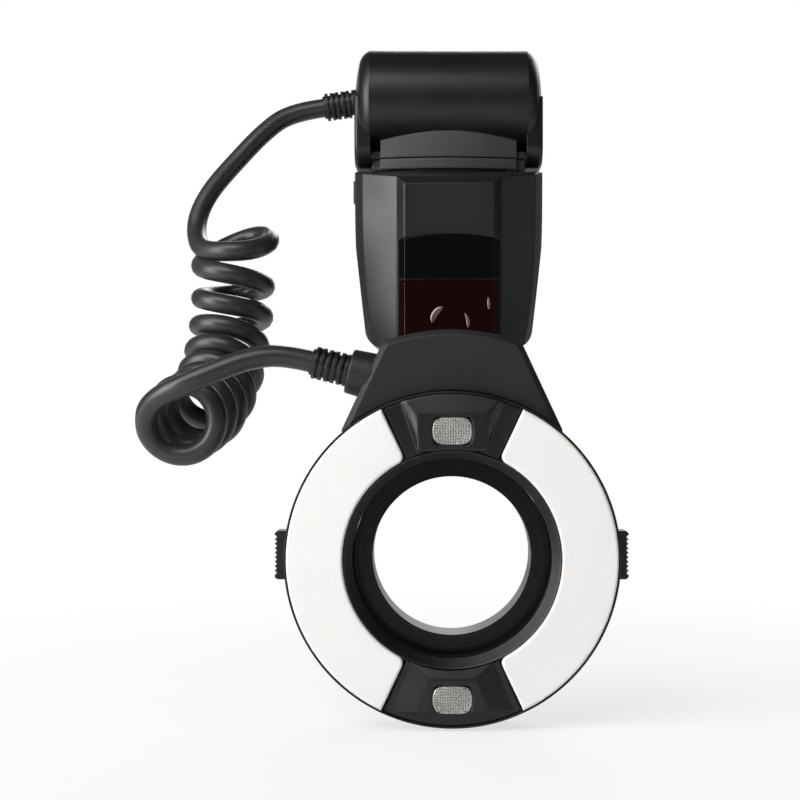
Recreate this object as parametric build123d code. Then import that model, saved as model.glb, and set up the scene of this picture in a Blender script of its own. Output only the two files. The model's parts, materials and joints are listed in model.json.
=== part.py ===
from build123d import *
import functools
import math
import os

# Macro ring flash, millimetres.
# The origin is the middle of the underside of the hot-shoe foot.
# X runs to the right seen from the front, Y away from the front, Z up.

# General fits and thicknesses
shell_wall = 2.2
seat_gap = 0.1
free_gap = 0.3
fine_gap = 0.2
pin_gap = 0.06
overrun = 3.0
board_thick = 1.6

# Place of the ring head in front of the hot shoe
lens_axis_z = -56.0
ring_back_y = -84.0

# Ring head, measured along its own axis from its back
ring_radius = 56.4
ring_depth = 26.0
bore_radius = 34.0
bore_wall = 2.0
ring_wall = 2.0
ring_floor = 2.0
ring_split = 14.0
back_edge_round = 1.6
mouth_radius = 36.4
mouth_depth = 7.0
mouth_wall = 1.2
mouth_rib_count = 6
mouth_rib_rise = 0.35
rim_lip = 0.6
front_wall = 1.5
lip_depth = 2.4
rim_step = 0.9
middle_floor = 1.2

# Diffusers and the bridges between them
diffuser_half_angle = 65.0
diffuser_gap_angle = 0.3
diffuser_thick = 2.0
diffuser_wall = 1.5
diffuser_wall_angle = 1.6
diffuser_depth = 9.6
diffuser_corner = 2.7
diffuser_edge_round = 0.9
bridge_drop = 1.4
bridge_rise = 2.8
bridge_half_angle = 24.6
bridge_depth = 8.4
top_bridge_outer_half = 19.1
top_bridge_over = 1.0
top_bridge_outer = ring_radius + top_bridge_over
top_bridge_inner_half = 11.5
top_plateau_half = 11.6
top_plateau_in = 7.6
top_plateau_outer = ring_radius - top_plateau_in
low_bridge_outer_half = 20.8
low_bridge_in = 5.5
low_bridge_outer = ring_radius - low_bridge_in
low_bridge_inner_half = 13.8
low_bridge_under = 2.5
low_bridge_inner = mouth_radius - low_bridge_under
low_plateau_outer_half = 12.2
low_plateau_in = 5.9
low_plateau_outer = ring_radius - low_plateau_in
low_plateau_inner_half = 7.8
low_plateau_step = 3.3
low_plateau_inner = mouth_radius + low_plateau_step

# Modelling lamps
lamp_half_width = 6.7
lamp_half_height = 4.6
lamp_bow = 1.1
lamp_corner = 1.6
lamp_thick = 2.6
lamp_proud = 0.3
top_lamp_step = 6.7
top_lamp_y = mouth_radius + top_lamp_step
low_lamp_step = 10.0
low_lamp_y = -mouth_radius - low_lamp_step
led_radius = 2.5
led_dome = 1.6
led_base = 2.2

# Flash tubes and reflectors
tube_centre = (mouth_radius + ring_radius) / 2
tube_radius = 2.2
tube_half_angle = 54.0
sleeve_angle = 5.0
reflector_half_angle = 61.0
reflector_half_width = 6.5
reflector_depth = 5.2
trough_radius = 3.5

# Hood over the ring
hood_rise = 21.0
hood_top = ring_radius + hood_rise
hood_shoulder_half = 23.5
hood_shoulder_drop = 4.2
hood_shoulder = hood_top - hood_shoulder_drop
hood_side_half_share = 0.66312
hood_side_share = 0.7695
hood_side_half = ring_radius * hood_side_half_share
hood_side = ring_radius * hood_side_share
hood_depth = 20.0
hood_split = 10.0
hood_wall = 2.0
hood_edge = 1.8
hood_corner_round = 4.5

# Cord horn and its strain relief
horn_in = 2.1
horn_x = horn_in - hood_side_half
horn_rise = 7.0
horn_y = ring_radius + horn_rise
horn_depth = 11.0
horn_tilt = 14.0
horn_end_radius = 7.65
horn_root_radius = 8.4
horn_reach = 15.0
horn_edge_round = 0.8

# Quick-release mechanism
button_half_height = 8.35
button_proud = 4.6
button_reach = ring_radius + button_proud
button_depth = 9.0
button_inner = button_reach - button_depth
button_back = 2.7
button_front = 10.3
button_round = 1.4
button_travel = 2.5
grip_rib_count = 9
grip_rib_depth = 0.7
yoke_inner = 39.0
yoke_outer = 42.5
yoke_thick = 2.5
yoke_levels = (3.0, 6.5)
yoke_arm_half = 3.4
claw_tip = 32.3
claw_half = 4.0
release_spring_offset = 6.1
release_spring_radius = 1.5
release_spring_wire = 0.5
release_spring_coils = 5
spring_post_near = 45.6
spring_post_far = 48.0
spring_post_half = 2.2
spring_post_top = 9.2
spring_level = 6.3

# Adapter ring that screws on the lens
adapter_bore = 27.2
adapter_flange = 33.7
adapter_groove = 31.6
adapter_front = 11.6
adapter_front_flange = 2.2
adapter_back = 0.3
adapter_back_flange = 2.3
thread_radius = 29.0
thread_length = 3.2

# Electronics of the ring
ring_board_inner = 43.5
ring_board_margin = 3.0
ring_board_outer = ring_radius - ring_board_margin
ring_board_level = 10.8
ring_board_tongue_half = 10.0
ring_board_tongue_rise = 10.6
ring_board_tongue = ring_radius + ring_board_tongue_rise
trigger_coil_radius = 2.5
trigger_coil_length = 14.0
trigger_coil_in = 4.0
trigger_coil_y = ring_board_tongue - trigger_coil_in

# Screws of the ring
screw_circle_in = 6.8
screw_circle = ring_radius - screw_circle_in
screw_angles = (35.0, 145.0, 215.0, 325.0)
screw_head_radius = 2.2
screw_head_depth = 1.2
screw_shank_radius = 1.1
screw_shank_length = 9.0
screw_slot_depth = 0.7
screw_slot_width = 0.7
screw_post_radius = 3.2

# Cord
cord_radius = 3.8
relief_radius = 5.6
relief_core = 4.6
relief_length = 13.2
relief_rib_count = 6
relief_rib_share = 0.55
relief_bridge_width = 2.6
relief_bridge_drop = 0.3
relief_seat = 1.5

# Controller drum
drum_radius = 21.1
drum_axis_z = 118.9
drum_half_length = 37.8
drum_dome_radius = 15.5
drum_dome_drop = 1.6
drum_dome_middle_share = 0.6
drum_dome_bulge_share = 0.3
drum_shoulder_in = 6.1
drum_shoulder_radius = 18.8
drum_shoulder_drop = 3.0
drum_seam_y = 1.0
ear_thick = 6.5
ear_half_depth = 14.5
ear_bottom = 91.2
ear_round = 9.0
ear_edge_round = 1.6
drum_relief_tilt = 8.0
capacitor_radius = 12.0
capacitor_length = 50.0
capacitor_saddle = 6.0
anchor_half = 7.0
anchor_length = 6.0

# Neck
neck_half_width = 27.3
neck_front_middle = 16.0
neck_front_side = 12.4
neck_seam_z = 94.0
neck_seam_gap = 0.5
neck_bottom_z = 89.9
neck_hub_setback = 3.5
neck_shoulder_gap = 0.5
neck_shoulder_top = 97.6
neck_shoulder_front = 9.0

# Controller body
body_top_z = 88.3
body_bottom_z = 17.8
body_back_y = 26.0
body_seam_y = -15.0
block_front_y = -34.0
block_half_width = 18.0
valley_y = -30.2
valley_half_width = 20.4
facet_y = -22.0
widest_y = -14.0
back_corner_y = 20.5
back_corner_in = 5.0
back_corner_bulge = 1.5
body_half_width = 37.5
body_bow = 5.0
body_bow_power = 3
body_section_count = 6
body_bottom_round = 8.0
block_edge = 0.7
facet_share = 0.91
top_slope_y = -16.0
top_ridge_y = -30.0
top_ridge_drop = 3.8
top_bevel_drop = 7.1

# Windows in the front of the body
window_wall = 1.6
window_half_width = 20.9
window_back_y = -31.0
sensor_bottom_z = 44.2
sensor_side_z = 59.3
sensor_top_z = 61.6
assist_bottom_z = 21.5
window_seam = 0.3
bowl_x = (0.3, -12.0, 12.5)
bowl_z = (27.5, 38.0, 38.0)
bowl_radii = (6.6, 3.4, 3.4)
bowl_wall = 0.8
bowl_carrier_thick = 1.4

# Battery compartment
cell_radius = 7.1
cell_length = 48.0
cell_button_radius = 2.6
cell_button_length = 1.2
cell_pitch = 15.6
cell_centre_y = 2.0
cell_centre_z = 60.0
cell_start_in = 7.0
cell_start_x = cell_start_in - body_half_width
tray_wall = 1.2
tray_margin = 1.1
tray_start_x = cell_start_x - tray_margin
contact_thick = 0.4
contact_half = 5.6
contact_spring_radius = 3.2

# Battery door on the side
door_bottom_z = 43.4
door_top_z = 85.4
door_front_y = -13.0
door_axis_in = 2.6
door_axis_x = door_axis_in - body_half_width
door_axis_y = 18.2
door_knuckle = 2.5
door_pin_radius = 1.0
door_pin_grip = 2.6
door_thick = 2.2
door_lug_height = 8.6
door_lug_proud = 0.7
door_lug_depth = 7.0
door_pad_thick = 1.6

# Back panel
back_wall = 2.2
lcd_half_width = 18.0
lcd_bottom_z = 59.5
lcd_top_z = 81.5
lcd_corner = 1.6
lcd_window_thick = 1.5
lcd_border = 2.4
lcd_panel_thick = 3.0
key_travel = 0.8
key_proud = 1.1
key_flange_in = 1.0
key_flange_thick = 1.0
key_stem_radius = 1.5
key_stem_length = 0.9
function_key_xs = (-15.6, -5.2, 5.2, 15.6)
function_key_z = 52.3
function_key_width = 7.6
function_key_height = 3.8
key_round = 1.2
pad_centre_z = 34.0
pad_reach = 8.6
pad_key_long = 8.4
pad_key_short = 4.4
ok_radius = 3.4
test_x = -22.5
test_radius = 3.6
switch_x = 22.0
switch_travel = 4.0
switch_half_width = 2.2
switch_half_height = 1.6
switch_proud = 1.6
switch_flange = 1.4
key_board_half_width = 28.0
key_board_bottom_z = 25.0
key_board_top_z = 58.0
main_board_half_width = 29.0
main_board_bottom_z = 26.0
main_board_top_z = 82.0

# Hot-shoe foot
foot_width = 18.6
foot_length = 18.0
foot_thick = 2.0
foot_chamfer = 0.8
foot_neck_width = 12.4
foot_neck_top_z = 4.6
foot_boss_radius = 8.0
base_bottom_z = 10.4
base_half_width = 16.0
base_half_length = 17.0
base_round = 4.0
base_edge = 1.0
wheel_bottom_z = 5.0
wheel_top_z = 9.9
wheel_radius = 12.6
wheel_groove_count = 30
wheel_groove_radius = 0.8
lock_pin_radius = 1.1
lock_pin_y = -6.2
lock_pin_length = 9.0
lock_pin_rest_z = 0.3
lock_pin_travel = 1.3
contact_xs = (0.0, -4.2, 4.2, -4.2, 4.2)
contact_ys = (2.6, 2.6, 2.6, 6.4, 6.4)
contact_radii = (1.6, 0.9, 0.9, 0.9, 0.9)
contact_proud = 0.3
contact_length = 5.0
contact_travel = 0.3
base_screw_x = 11.6
base_screw_y = 12.6

# Cord's route: lengths, places and directions
upper_route = [
    (-50.872, 0.0, 117.063),
    (-64.736, 0.0, 115.115),
    (-75.6, -4.2, 108.4),
    (-84.6, -9.0, 96.6),
    (-92.4, -15.0, 84.6),
    (-97.0, -21.0, 73.6),
]
lower_route = [
    (-48.108, -95.0, 10.593),
    (-58.199, -95.0, 13.109),
    (-69.8, -96.0, 11.6),
    (-80.6, -97.6, 7.4),
    (-90.4, -98.8, 3.2),
]
coil_radius_mean = 12.2
coil_top = (-82.6, -33.5, 57.5)
coil_lean = (-0.05, 0.0, -1.0)
coil_bend_heading = 80.0
coil_straight = 24.0
coil_bend_radius = 41.0
coil_bend_angle = 78.0
coil_reach = 21.5
coil_start_angle = 62.0
coil_end_angle = 325.0
coil_turns = 8


def block(x0, x1, y0, y1, z0, z1):
    """Box between two corners."""
    return Pos((x0 + x1) / 2, (y0 + y1) / 2, (z0 + z1) / 2) * Box(x1 - x0, y1 - y0, z1 - z0)


def disc(radius, z0, z1):
    """Cylinder about the Z axis between two levels."""
    return Pos(0, 0, (z0 + z1) / 2) * Cylinder(radius, z1 - z0)


def ring(inner, outer, z0, z1):
    """Flat ring about the Z axis."""
    return disc(outer, z0, z1) - disc(inner, z0 - overrun, z1 + overrun)


def turned(points):
    """Solid turned about the Z axis from an outline of radius and level."""
    outline = make_face(Polyline(*[(r, 0, z) for r, z in points], close=True))
    return revolve(outline, axis=Axis.Z)


def outline_face(*edges):
    """Flat face inside a closed run of edges."""
    return make_face(list(edges))


def sector(inner, outer, middle, half):
    """Flat annular sector about a middle angle."""
    out = CenterArc((0, 0), outer, middle - half, 2 * half)
    back = CenterArc((0, 0), inner, middle - half, 2 * half)
    return outline_face(out, back, Line(back @ 0, out @ 0), Line(back @ 1, out @ 1))


def prism(face, z0, z1):
    """Face in the XY plane made into a solid between two levels."""
    return Pos(0, 0, z0) * extrude(face, z1 - z0)


def group(shapes):
    """Separate solids kept together in one node."""
    return Compound([solid for shape in shapes for solid in shape.solids()])


def ring_place(shape):
    """Ring head's own frame put in front of the hot shoe."""
    return Pos(0, ring_back_y, lens_axis_z) * Rot(90, 0, 0) * shape


def along_x(radius, x0, x1, y, z):
    """Cylinder along X."""
    return Pos((x0 + x1) / 2, y, z) * Rot(0, 90, 0) * Cylinder(radius, x1 - x0)


def along_y(radius, x, z, y0, y1):
    """Cylinder along Y."""
    return Pos(x, (y0 + y1) / 2, z) * Rot(90, 0, 0) * Cylinder(radius, y1 - y0)


# Ring head

def hood_outline(inset):
    """Trapezoid of the hood with a bowed top, in the ring's frame."""
    left_low = (-hood_side_half + inset, 0)
    left = (-hood_side_half + inset, hood_side)
    left_up = (-hood_shoulder_half + inset, hood_shoulder - inset)
    top = (0, hood_top - inset)
    right_up = (hood_shoulder_half - inset, hood_shoulder - inset)
    right = (hood_side_half - inset, hood_side)
    right_low = (hood_side_half - inset, 0)
    face = outline_face(
        Line(left_low, left),
        Line(left, left_up),
        ThreePointArc(left_up, top, right_up),
        Line(right_up, right),
        Line(right, right_low),
        Line(right_low, left_low),
    )
    shoulders = [v for v in face.vertices() if v.Y > hood_side + inset + hood_wall]
    return fillet(shoulders, hood_corner_round)


def horn_solid():
    """Tapered boss on the side of the hood, along the cord's direction."""
    cone = Pos(0, 0, -horn_reach / 2) * Cone(horn_root_radius, horn_end_radius, horn_reach)
    rim = cone.edges().filter_by(GeomType.CIRCLE).sort_by(Axis.Z)[-1]
    return at_horn_end(fillet(rim, horn_edge_round))


def screw_places():
    """Places of the ring's screws in its own frame."""
    return [
        (screw_circle * math.cos(math.radians(a)), screw_circle * math.sin(math.radians(a)))
        for a in screw_angles
    ]


def spring_posts():
    """Bored posts that the release springs work against."""
    posts = None
    for side in (-1, 1):
        for offset in (-release_spring_offset, release_spring_offset):
            near = side * spring_post_near
            far = side * spring_post_far
            post = block(
                min(near, far), max(near, far),
                offset - spring_post_half, offset + spring_post_half,
                ring_floor, spring_post_top,
            )
            post -= along_x(
                release_spring_radius + free_gap, min(near, far) - overrun,
                max(near, far) + overrun, offset, spring_level,
            )
            posts = post if posts is None else posts + post
    return posts


def ring_rear_housing():
    """Back shell: floor, wall, bore tube, hood half, screw posts and claw windows."""
    tube_front = ring_depth - mouth_depth
    shell = turned([
        (bore_radius, 0),
        (ring_radius - back_edge_round, 0),
        (ring_radius, back_edge_round),
        (ring_radius, ring_split),
        (ring_radius - ring_wall, ring_split),
        (ring_radius - ring_wall, ring_floor),
        (bore_radius + bore_wall, ring_floor),
        (bore_radius + bore_wall, tube_front),
        (bore_radius, tube_front),
    ])
    hood = prism(hood_outline(0), 0, hood_split) - disc(ring_radius - ring_wall, -overrun, ring_depth)
    hollow = prism(hood_outline(hood_wall), ring_floor, hood_split + overrun)
    hood -= hollow - disc(ring_radius, -overrun, ring_depth)
    shell += hood
    for x, y in screw_places():
        shell += Pos(x, y, 0) * disc(screw_post_radius, 0, ring_board_level - free_gap)
    for x, y in screw_places():
        shell -= Pos(x, y, 0) * disc(screw_head_radius + fine_gap, -overrun, screw_head_depth)
        shell -= Pos(x, y, 0) * disc(screw_shank_radius, -overrun, ring_board_level + overrun)
    shell += spring_posts()
    way = ring_board_tongue_half + free_gap
    shell -= block(
        -way, way, ring_board_inner, ring_radius + free_gap, ring_board_level - free_gap, ring_split,
    ) - disc(ring_board_inner, 0, ring_depth)
    window = button_half_height + free_gap
    wall_cut = ring_radius - ring_wall - overrun
    for side, level in ((1, yoke_levels[1]), (-1, yoke_levels[0])):
        low = level - free_gap
        high = level + yoke_thick + free_gap
        reach = bore_radius + bore_wall + overrun
        near = bore_radius - overrun
        shell -= block(
            min(side * near, side * reach), max(side * near, side * reach),
            -claw_half - free_gap, claw_half + free_gap, low, high,
        )
        far = ring_radius + overrun
        shell -= block(
            min(side * wall_cut, side * far), max(side * wall_cut, side * far),
            -window, window, button_back - free_gap, button_front + free_gap,
        )
    return shell - horn_solid()


def mouth_profile():
    """Ribbed taper inside the mouth, from its front edge down to the bore."""
    front = ring_depth - diffuser_edge_round
    low = ring_depth - mouth_depth
    points = []
    step = (front - low) / mouth_rib_count
    slope = (mouth_radius - bore_radius) / mouth_rib_count
    for k in range(mouth_rib_count):
        radius = mouth_radius - slope * k
        level = front - step * k
        points.append((radius, level))
        points.append((radius - slope - mouth_rib_rise, level - step / 2))
        points.append((radius - slope, level - step / 2))
    points.append((bore_radius, low))
    return points


def ring_front_frame():
    """Front rim, middle floor with lamp slots and the ribbed mouth."""
    front = ring_depth - diffuser_edge_round
    under_lip = ring_depth - lip_depth
    outer = [
        (ring_radius, ring_split),
        (ring_radius, front),
        (ring_radius - rim_lip, front),
        (ring_radius - rim_lip, under_lip),
        (ring_radius - front_wall, under_lip),
        (ring_radius - front_wall, ring_split + middle_floor),
    ]
    floor_inner = bore_radius + bore_wall + seat_gap
    inner = [
        (mouth_radius + mouth_wall, ring_split + middle_floor),
        (mouth_radius + mouth_wall, under_lip),
        (mouth_radius + fine_gap, under_lip),
        (mouth_radius + fine_gap, front),
    ]
    tail = [
        (floor_inner, ring_depth - mouth_depth),
        (floor_inner, ring_split),
    ]
    frame = turned(outer + inner + mouth_profile() + tail)
    slot = sector(
        tube_centre - trough_radius, tube_centre + trough_radius, 0, tube_half_angle,
    )
    for middle in (0, 180):
        frame -= Rot(0, 0, middle) * prism(slot, ring_split - overrun, ring_split + middle_floor + overrun)
    return frame


def hood_front_cover():
    """Front half of the hood with a chamfered edge."""
    cover = prism(hood_outline(0), hood_split, hood_depth)
    front_edges = cover.faces().sort_by(Axis.Z)[-1].outer_wire().edges()
    keep = [e for e in front_edges if e.center().Y > hood_wall]
    cover = chamfer(keep, hood_edge)
    cover -= prism(hood_outline(hood_wall), hood_split - overrun, hood_depth - hood_wall)
    cover -= disc(ring_radius + free_gap, hood_split - overrun, ring_depth)
    return cover - horn_solid()


def bridge(outer_half, outer_y, inner_half, inner_y, top_outer_half, top_outer, top_inner_half, top_inner):
    """Raised block between the diffusers: base and plateau joined by facets."""
    base_z = ring_depth - bridge_drop
    base = Polyline(
        (-outer_half, outer_y, base_z), (outer_half, outer_y, base_z),
        (inner_half, inner_y, base_z), (-inner_half, inner_y, base_z), close=True,
    )
    top_z = base_z + bridge_rise
    top = Polyline(
        (-top_outer_half, top_outer, top_z), (top_outer_half, top_outer, top_z),
        (top_inner_half, top_inner, top_z), (-top_inner_half, top_inner, top_z), close=True,
    )
    return loft([make_face(base), make_face(top)], ruled=True)


def spacer(middle, raised, lamp_y):
    """Black bridge piece: sector base, raised block and the lamp's pocket."""
    outer = ring_radius - rim_lip - fine_gap
    inner = mouth_radius + 2 * fine_gap
    base_z = ring_depth - bridge_drop
    plate = prism(sector(inner, outer, middle, bridge_half_angle), ring_depth - lip_depth, base_z)
    deep = prism(
        sector(mouth_radius + mouth_wall + fine_gap, ring_radius - front_wall - fine_gap,
               middle, bridge_half_angle),
        ring_depth - bridge_depth, ring_depth - lip_depth,
    )
    crown = raised & (disc(outer, 0, ring_depth * 2) - disc(inner, -overrun, ring_depth * 2 + overrun))
    body = plate + deep + crown
    top_z = base_z + bridge_rise
    pocket = Pos(0, lamp_y, 0) * prism(lamp_outline(fine_gap / 2), top_z - lamp_thick, top_z + overrun)
    well = Pos(0, lamp_y, 0) * disc(led_radius + free_gap, 0, top_z)
    return body - pocket - well


def top_spacer():
    """Bridge above the bore."""
    raised = bridge(
        top_bridge_outer_half, top_bridge_outer, top_bridge_inner_half, mouth_radius,
        top_plateau_half, top_plateau_outer, top_plateau_half, mouth_radius,
    )
    return spacer(90, raised, top_lamp_y)


def bottom_spacer():
    """Bridge below the bore."""
    raised = bridge(
        low_bridge_inner_half, -low_bridge_inner, low_bridge_outer_half, -low_bridge_outer,
        low_plateau_inner_half, -low_plateau_inner, low_plateau_outer_half, -low_plateau_outer,
    )
    return spacer(270, raised, low_lamp_y)


def lamp_outline(grow):
    """Barrel outline of a modelling lamp: flat top and bottom, bowed sides."""
    half = lamp_half_width - lamp_bow + grow
    tall = lamp_half_height + grow
    face = outline_face(
        Line((-half, tall), (half, tall)),
        ThreePointArc((half, tall), (half + lamp_bow, 0), (half, -tall)),
        Line((half, -tall), (-half, -tall)),
        ThreePointArc((-half, -tall), (-half - lamp_bow, 0), (-half, tall)),
    )
    return fillet(face.vertices(), lamp_corner)


def lamp_lens(lamp_y):
    """Clear prismatic window of a modelling lamp."""
    top_z = ring_depth - bridge_drop + bridge_rise
    window = prism(lamp_outline(-fine_gap / 2), top_z - lamp_thick, top_z + lamp_proud)
    rim = window.faces().sort_by(Axis.Z)[-1].edges()
    return Pos(0, lamp_y, 0) * chamfer(rim, lamp_proud)


def lamp_led(lamp_y):
    """Lamp behind the window: a round base with a dome."""
    top_z = ring_depth - bridge_drop + bridge_rise - lamp_thick - free_gap
    base = disc(led_radius, ring_split + middle_floor, top_z - led_dome)
    cap = Pos(0, 0, top_z - led_dome) * Sphere(led_dome)
    return Pos(0, lamp_y, 0) * (base + (cap & disc(led_radius, top_z - led_dome, top_z)))


def diffuser(middle):
    """Opal window over one flash tube: rounded front plate on a hollow box."""
    half = diffuser_half_angle - diffuser_gap_angle
    inner = mouth_radius + 2 * fine_gap
    outer = ring_radius - rim_lip - fine_gap
    face = sector(inner, outer, 0, half)
    near = [v for v in face.vertices() if math.hypot(v.X, v.Y) < tube_centre]
    face = fillet(near, diffuser_corner)
    plate = prism(face, ring_depth - lip_depth, ring_depth)
    plate = fillet(plate.faces().sort_by(Axis.Z)[-1].edges(), diffuser_edge_round)
    box_outer = ring_radius - front_wall - fine_gap
    box_inner = mouth_radius + mouth_wall + fine_gap
    low = ring_depth - diffuser_depth
    box = prism(sector(box_inner, box_outer, 0, half - diffuser_wall_angle), low, ring_depth - lip_depth)
    hollow = prism(
        sector(box_inner + diffuser_wall, box_outer - diffuser_wall, 0, half - 2 * diffuser_wall_angle),
        low - overrun, ring_depth - diffuser_thick,
    )
    return Rot(0, 0, middle) * (plate + box - hollow)


def torus_piece(radius, centre, level, middle, half):
    """Part of a torus about the ring's axis."""
    circle = Pos(centre, 0, level) * Rot(90, 0, 0) * Circle(radius)
    return Rot(0, 0, middle - half) * revolve(circle, axis=Axis.Z, revolution_arc=2 * half)


def flash_tube(middle):
    """Bent glass tube with a sleeve at each end."""
    level = ring_split + middle_floor + seat_gap + reflector_depth
    tube = torus_piece(tube_radius, tube_centre, level, middle, tube_half_angle)
    for side in (-1, 1):
        place = middle + side * (tube_half_angle + sleeve_angle / 2)
        tube += torus_piece(trough_radius - fine_gap, tube_centre, level, place, sleeve_angle / 2)
    return tube


def reflector(middle):
    """Bright trough behind a flash tube."""
    low = ring_split + middle_floor + seat_gap
    top = low + reflector_depth
    face = sector(
        tube_centre - reflector_half_width, tube_centre + reflector_half_width,
        middle, reflector_half_angle,
    )
    trough = torus_piece(trough_radius, tube_centre, top, middle, reflector_half_angle + 1)
    return prism(face, low, top) - trough


def button_cap(side):
    """Ribbed push button in the ring's side wall."""
    near = min(side * button_inner, side * button_reach)
    far = max(side * button_inner, side * button_reach)
    cap = block(near, far, -button_half_height, button_half_height, button_back, button_front)
    long_edges = cap.edges().filter_by(Axis.Z)
    outer = [e for e in long_edges if abs(e.center().X) > button_inner + button_round]
    cap = fillet(outer, button_round)
    pitch = 2 * (button_half_height - button_round) / grip_rib_count
    for k in range(grip_rib_count):
        y = -button_half_height + button_round + pitch * (k + 0.5)
        groove = Pos(side * button_reach, y, 0) * disc(
            grip_rib_depth, button_back - overrun, button_front + overrun)
        cap -= groove
    return cap


def release_button(side, level):
    """Button, yoke round the bore and claw on the far side, one moulding."""
    low = level
    high = level + yoke_thick
    yoke = ring(yoke_inner, yoke_outer, low, high)
    arm_far = button_inner + button_round
    arm = block(
        min(side * yoke_inner, side * arm_far), max(side * yoke_inner, side * arm_far),
        -yoke_arm_half, yoke_arm_half, low, high,
    )
    arm -= disc(yoke_inner, low - overrun, high + overrun)
    claw = block(
        min(-side * yoke_outer, 0), max(-side * yoke_outer, 0), -claw_half, claw_half, low, high,
    )
    claw = claw & ring(claw_tip, yoke_outer, low, high)
    return button_cap(side) + yoke + arm + claw


def release_springs(side):
    """Two compression springs that push a button out."""
    springs = []
    start = button_inner
    end = spring_post_far + free_gap
    pitch = (start - end) / release_spring_coils
    for offset in (-release_spring_offset, release_spring_offset):
        points = [(release_spring_radius - release_spring_wire, 0)]
        for k in range(release_spring_coils):
            level = pitch * k
            points.append((release_spring_radius - release_spring_wire / 2, level))
            points.append((release_spring_radius, level + pitch / 2))
        points.append((release_spring_radius - release_spring_wire / 2, pitch * release_spring_coils))
        points.append((release_spring_radius - release_spring_wire, pitch * release_spring_coils))
        body = turned(points)
        turn = Rot(0, 90, 0) if side > 0 else Rot(0, -90, 0)
        springs.append(Pos(side * end, offset, spring_level) * turn * body)
    return group(springs)


def adapter_ring():
    """Ring with a groove for the claws and a thread for the lens."""
    return turned([
        (adapter_bore, -thread_length),
        (thread_radius, -thread_length),
        (thread_radius, adapter_back),
        (adapter_flange, adapter_back),
        (adapter_flange, adapter_back + adapter_back_flange),
        (adapter_groove, adapter_back + adapter_back_flange),
        (adapter_groove, adapter_front - adapter_front_flange),
        (adapter_flange, adapter_front - adapter_front_flange),
        (adapter_flange, adapter_front),
        (adapter_bore, adapter_front),
    ])


def ring_circuit_board():
    """Annular board with a tongue up into the hood."""
    board = ring(ring_board_inner, ring_board_outer, ring_board_level, ring_board_level + board_thick)
    tongue = block(
        -ring_board_tongue_half, ring_board_tongue_half,
        ring_board_inner, ring_board_tongue, ring_board_level, ring_board_level + board_thick,
    )
    board += tongue - disc(ring_board_inner, 0, ring_depth)
    for x, y in screw_places():
        board -= Pos(x, y, 0) * disc(screw_shank_radius + free_gap, 0, ring_depth)
    return board


def trigger_coil():
    """Ignition coil on the board's tongue."""
    level = ring_board_level + board_thick + trigger_coil_radius + seat_gap
    half = trigger_coil_length / 2
    return along_x(trigger_coil_radius, -half, half, trigger_coil_y, level)


def screw(x, y, head_z):
    """Cross-slotted screw pointing up, whose head starts at a level."""
    head = disc(screw_head_radius, 0, screw_head_depth)
    shank = disc(screw_shank_radius - pin_gap, screw_head_depth, screw_shank_length)
    slot = block(-screw_head_radius, screw_head_radius, -screw_slot_width / 2, screw_slot_width / 2,
                 -overrun, screw_slot_depth)
    return Pos(x, y, head_z) * (head + shank - slot - Rot(0, 0, 90) * slot)


def ring_screws():
    """Four screws from the back of the ring."""
    return [ring_place(screw(x, y, 0)) for x, y in screw_places()]


# Cord and strain reliefs

def strain_relief():
    """Ribbed sleeve along Z, seated below 0, with bridges between the ribs."""
    pitch = relief_length / relief_rib_count
    rib = pitch * relief_rib_share
    sleeve = disc(relief_core, 0, relief_length) + disc(relief_radius, -relief_seat, rib)
    for k in range(1, relief_rib_count):
        low = k * pitch
        sleeve += disc(relief_radius, low, low + rib)
        between = disc(relief_radius - relief_bridge_drop, low - pitch + rib / 2, low + rib / 2)
        across = block(
            -relief_radius, relief_radius, -relief_bridge_width / 2, relief_bridge_width / 2,
            low - pitch, low + pitch,
        )
        sleeve += Rot(0, 0, 90 * (k % 2)) * (across & between)
    return sleeve


def relief_socket():
    """Hole that a strain relief is seated in, with the cord's way beyond it."""
    seat = disc(relief_radius + seat_gap, -relief_seat - seat_gap, overrun)
    return seat + disc(cord_radius, -horn_reach, 0)


def at_drum_end(shape):
    """Shape along Z put in the left end of the drum, along the cord."""
    return Pos(-drum_half_length, 0, drum_axis_z) * Rot(0, -90 - drum_relief_tilt, 0) * shape


def at_horn_end(shape):
    """Shape along Z put in the end of the horn, in the ring's frame."""
    return Pos(horn_x, horn_y, horn_depth) * Rot(0, 0, -horn_tilt) * Rot(0, -90, 0) * shape


def unit(v):
    """Vector of length one."""
    return v * (1 / v.length)


def corner_radii(points):
    """Radius for each corner of a route: as large as its two runs allow."""
    radii = []
    for k in range(1, len(points) - 1):
        before = Vector(*points[k]) - Vector(*points[k - 1])
        after = Vector(*points[k + 1]) - Vector(*points[k])
        half_turn = math.radians(before.get_angle(after)) / 2
        radii.append(0.45 * min(before.length, after.length) / math.tan(half_turn))
    return radii


def cord_lead(points, label):
    """Free stretch of cord along a hand-chosen route."""
    radii = corner_radii(points)
    print(label, "corner radii", [round(r, 1) for r in radii])
    path = FilletPolyline(*points, radius=radii)
    start = Vector(*points[0])
    face = Plane(origin=start, z_dir=Vector(*points[1]) - start) * Circle(cord_radius)
    tube = sweep(face, path=path)
    print(label, "length", round(path.length, 1), "volume share",
          round(tube.volume / (math.pi * cord_radius ** 2 * path.length), 4))
    return tube


def rotate_about(vector, axis, angle):
    """Vector turned about a unit axis by an angle in radians."""
    turned_part = vector * math.cos(angle) + axis.cross(vector) * math.sin(angle)
    return turned_part + axis * (axis.dot(vector) * (1 - math.cos(angle)))


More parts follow.
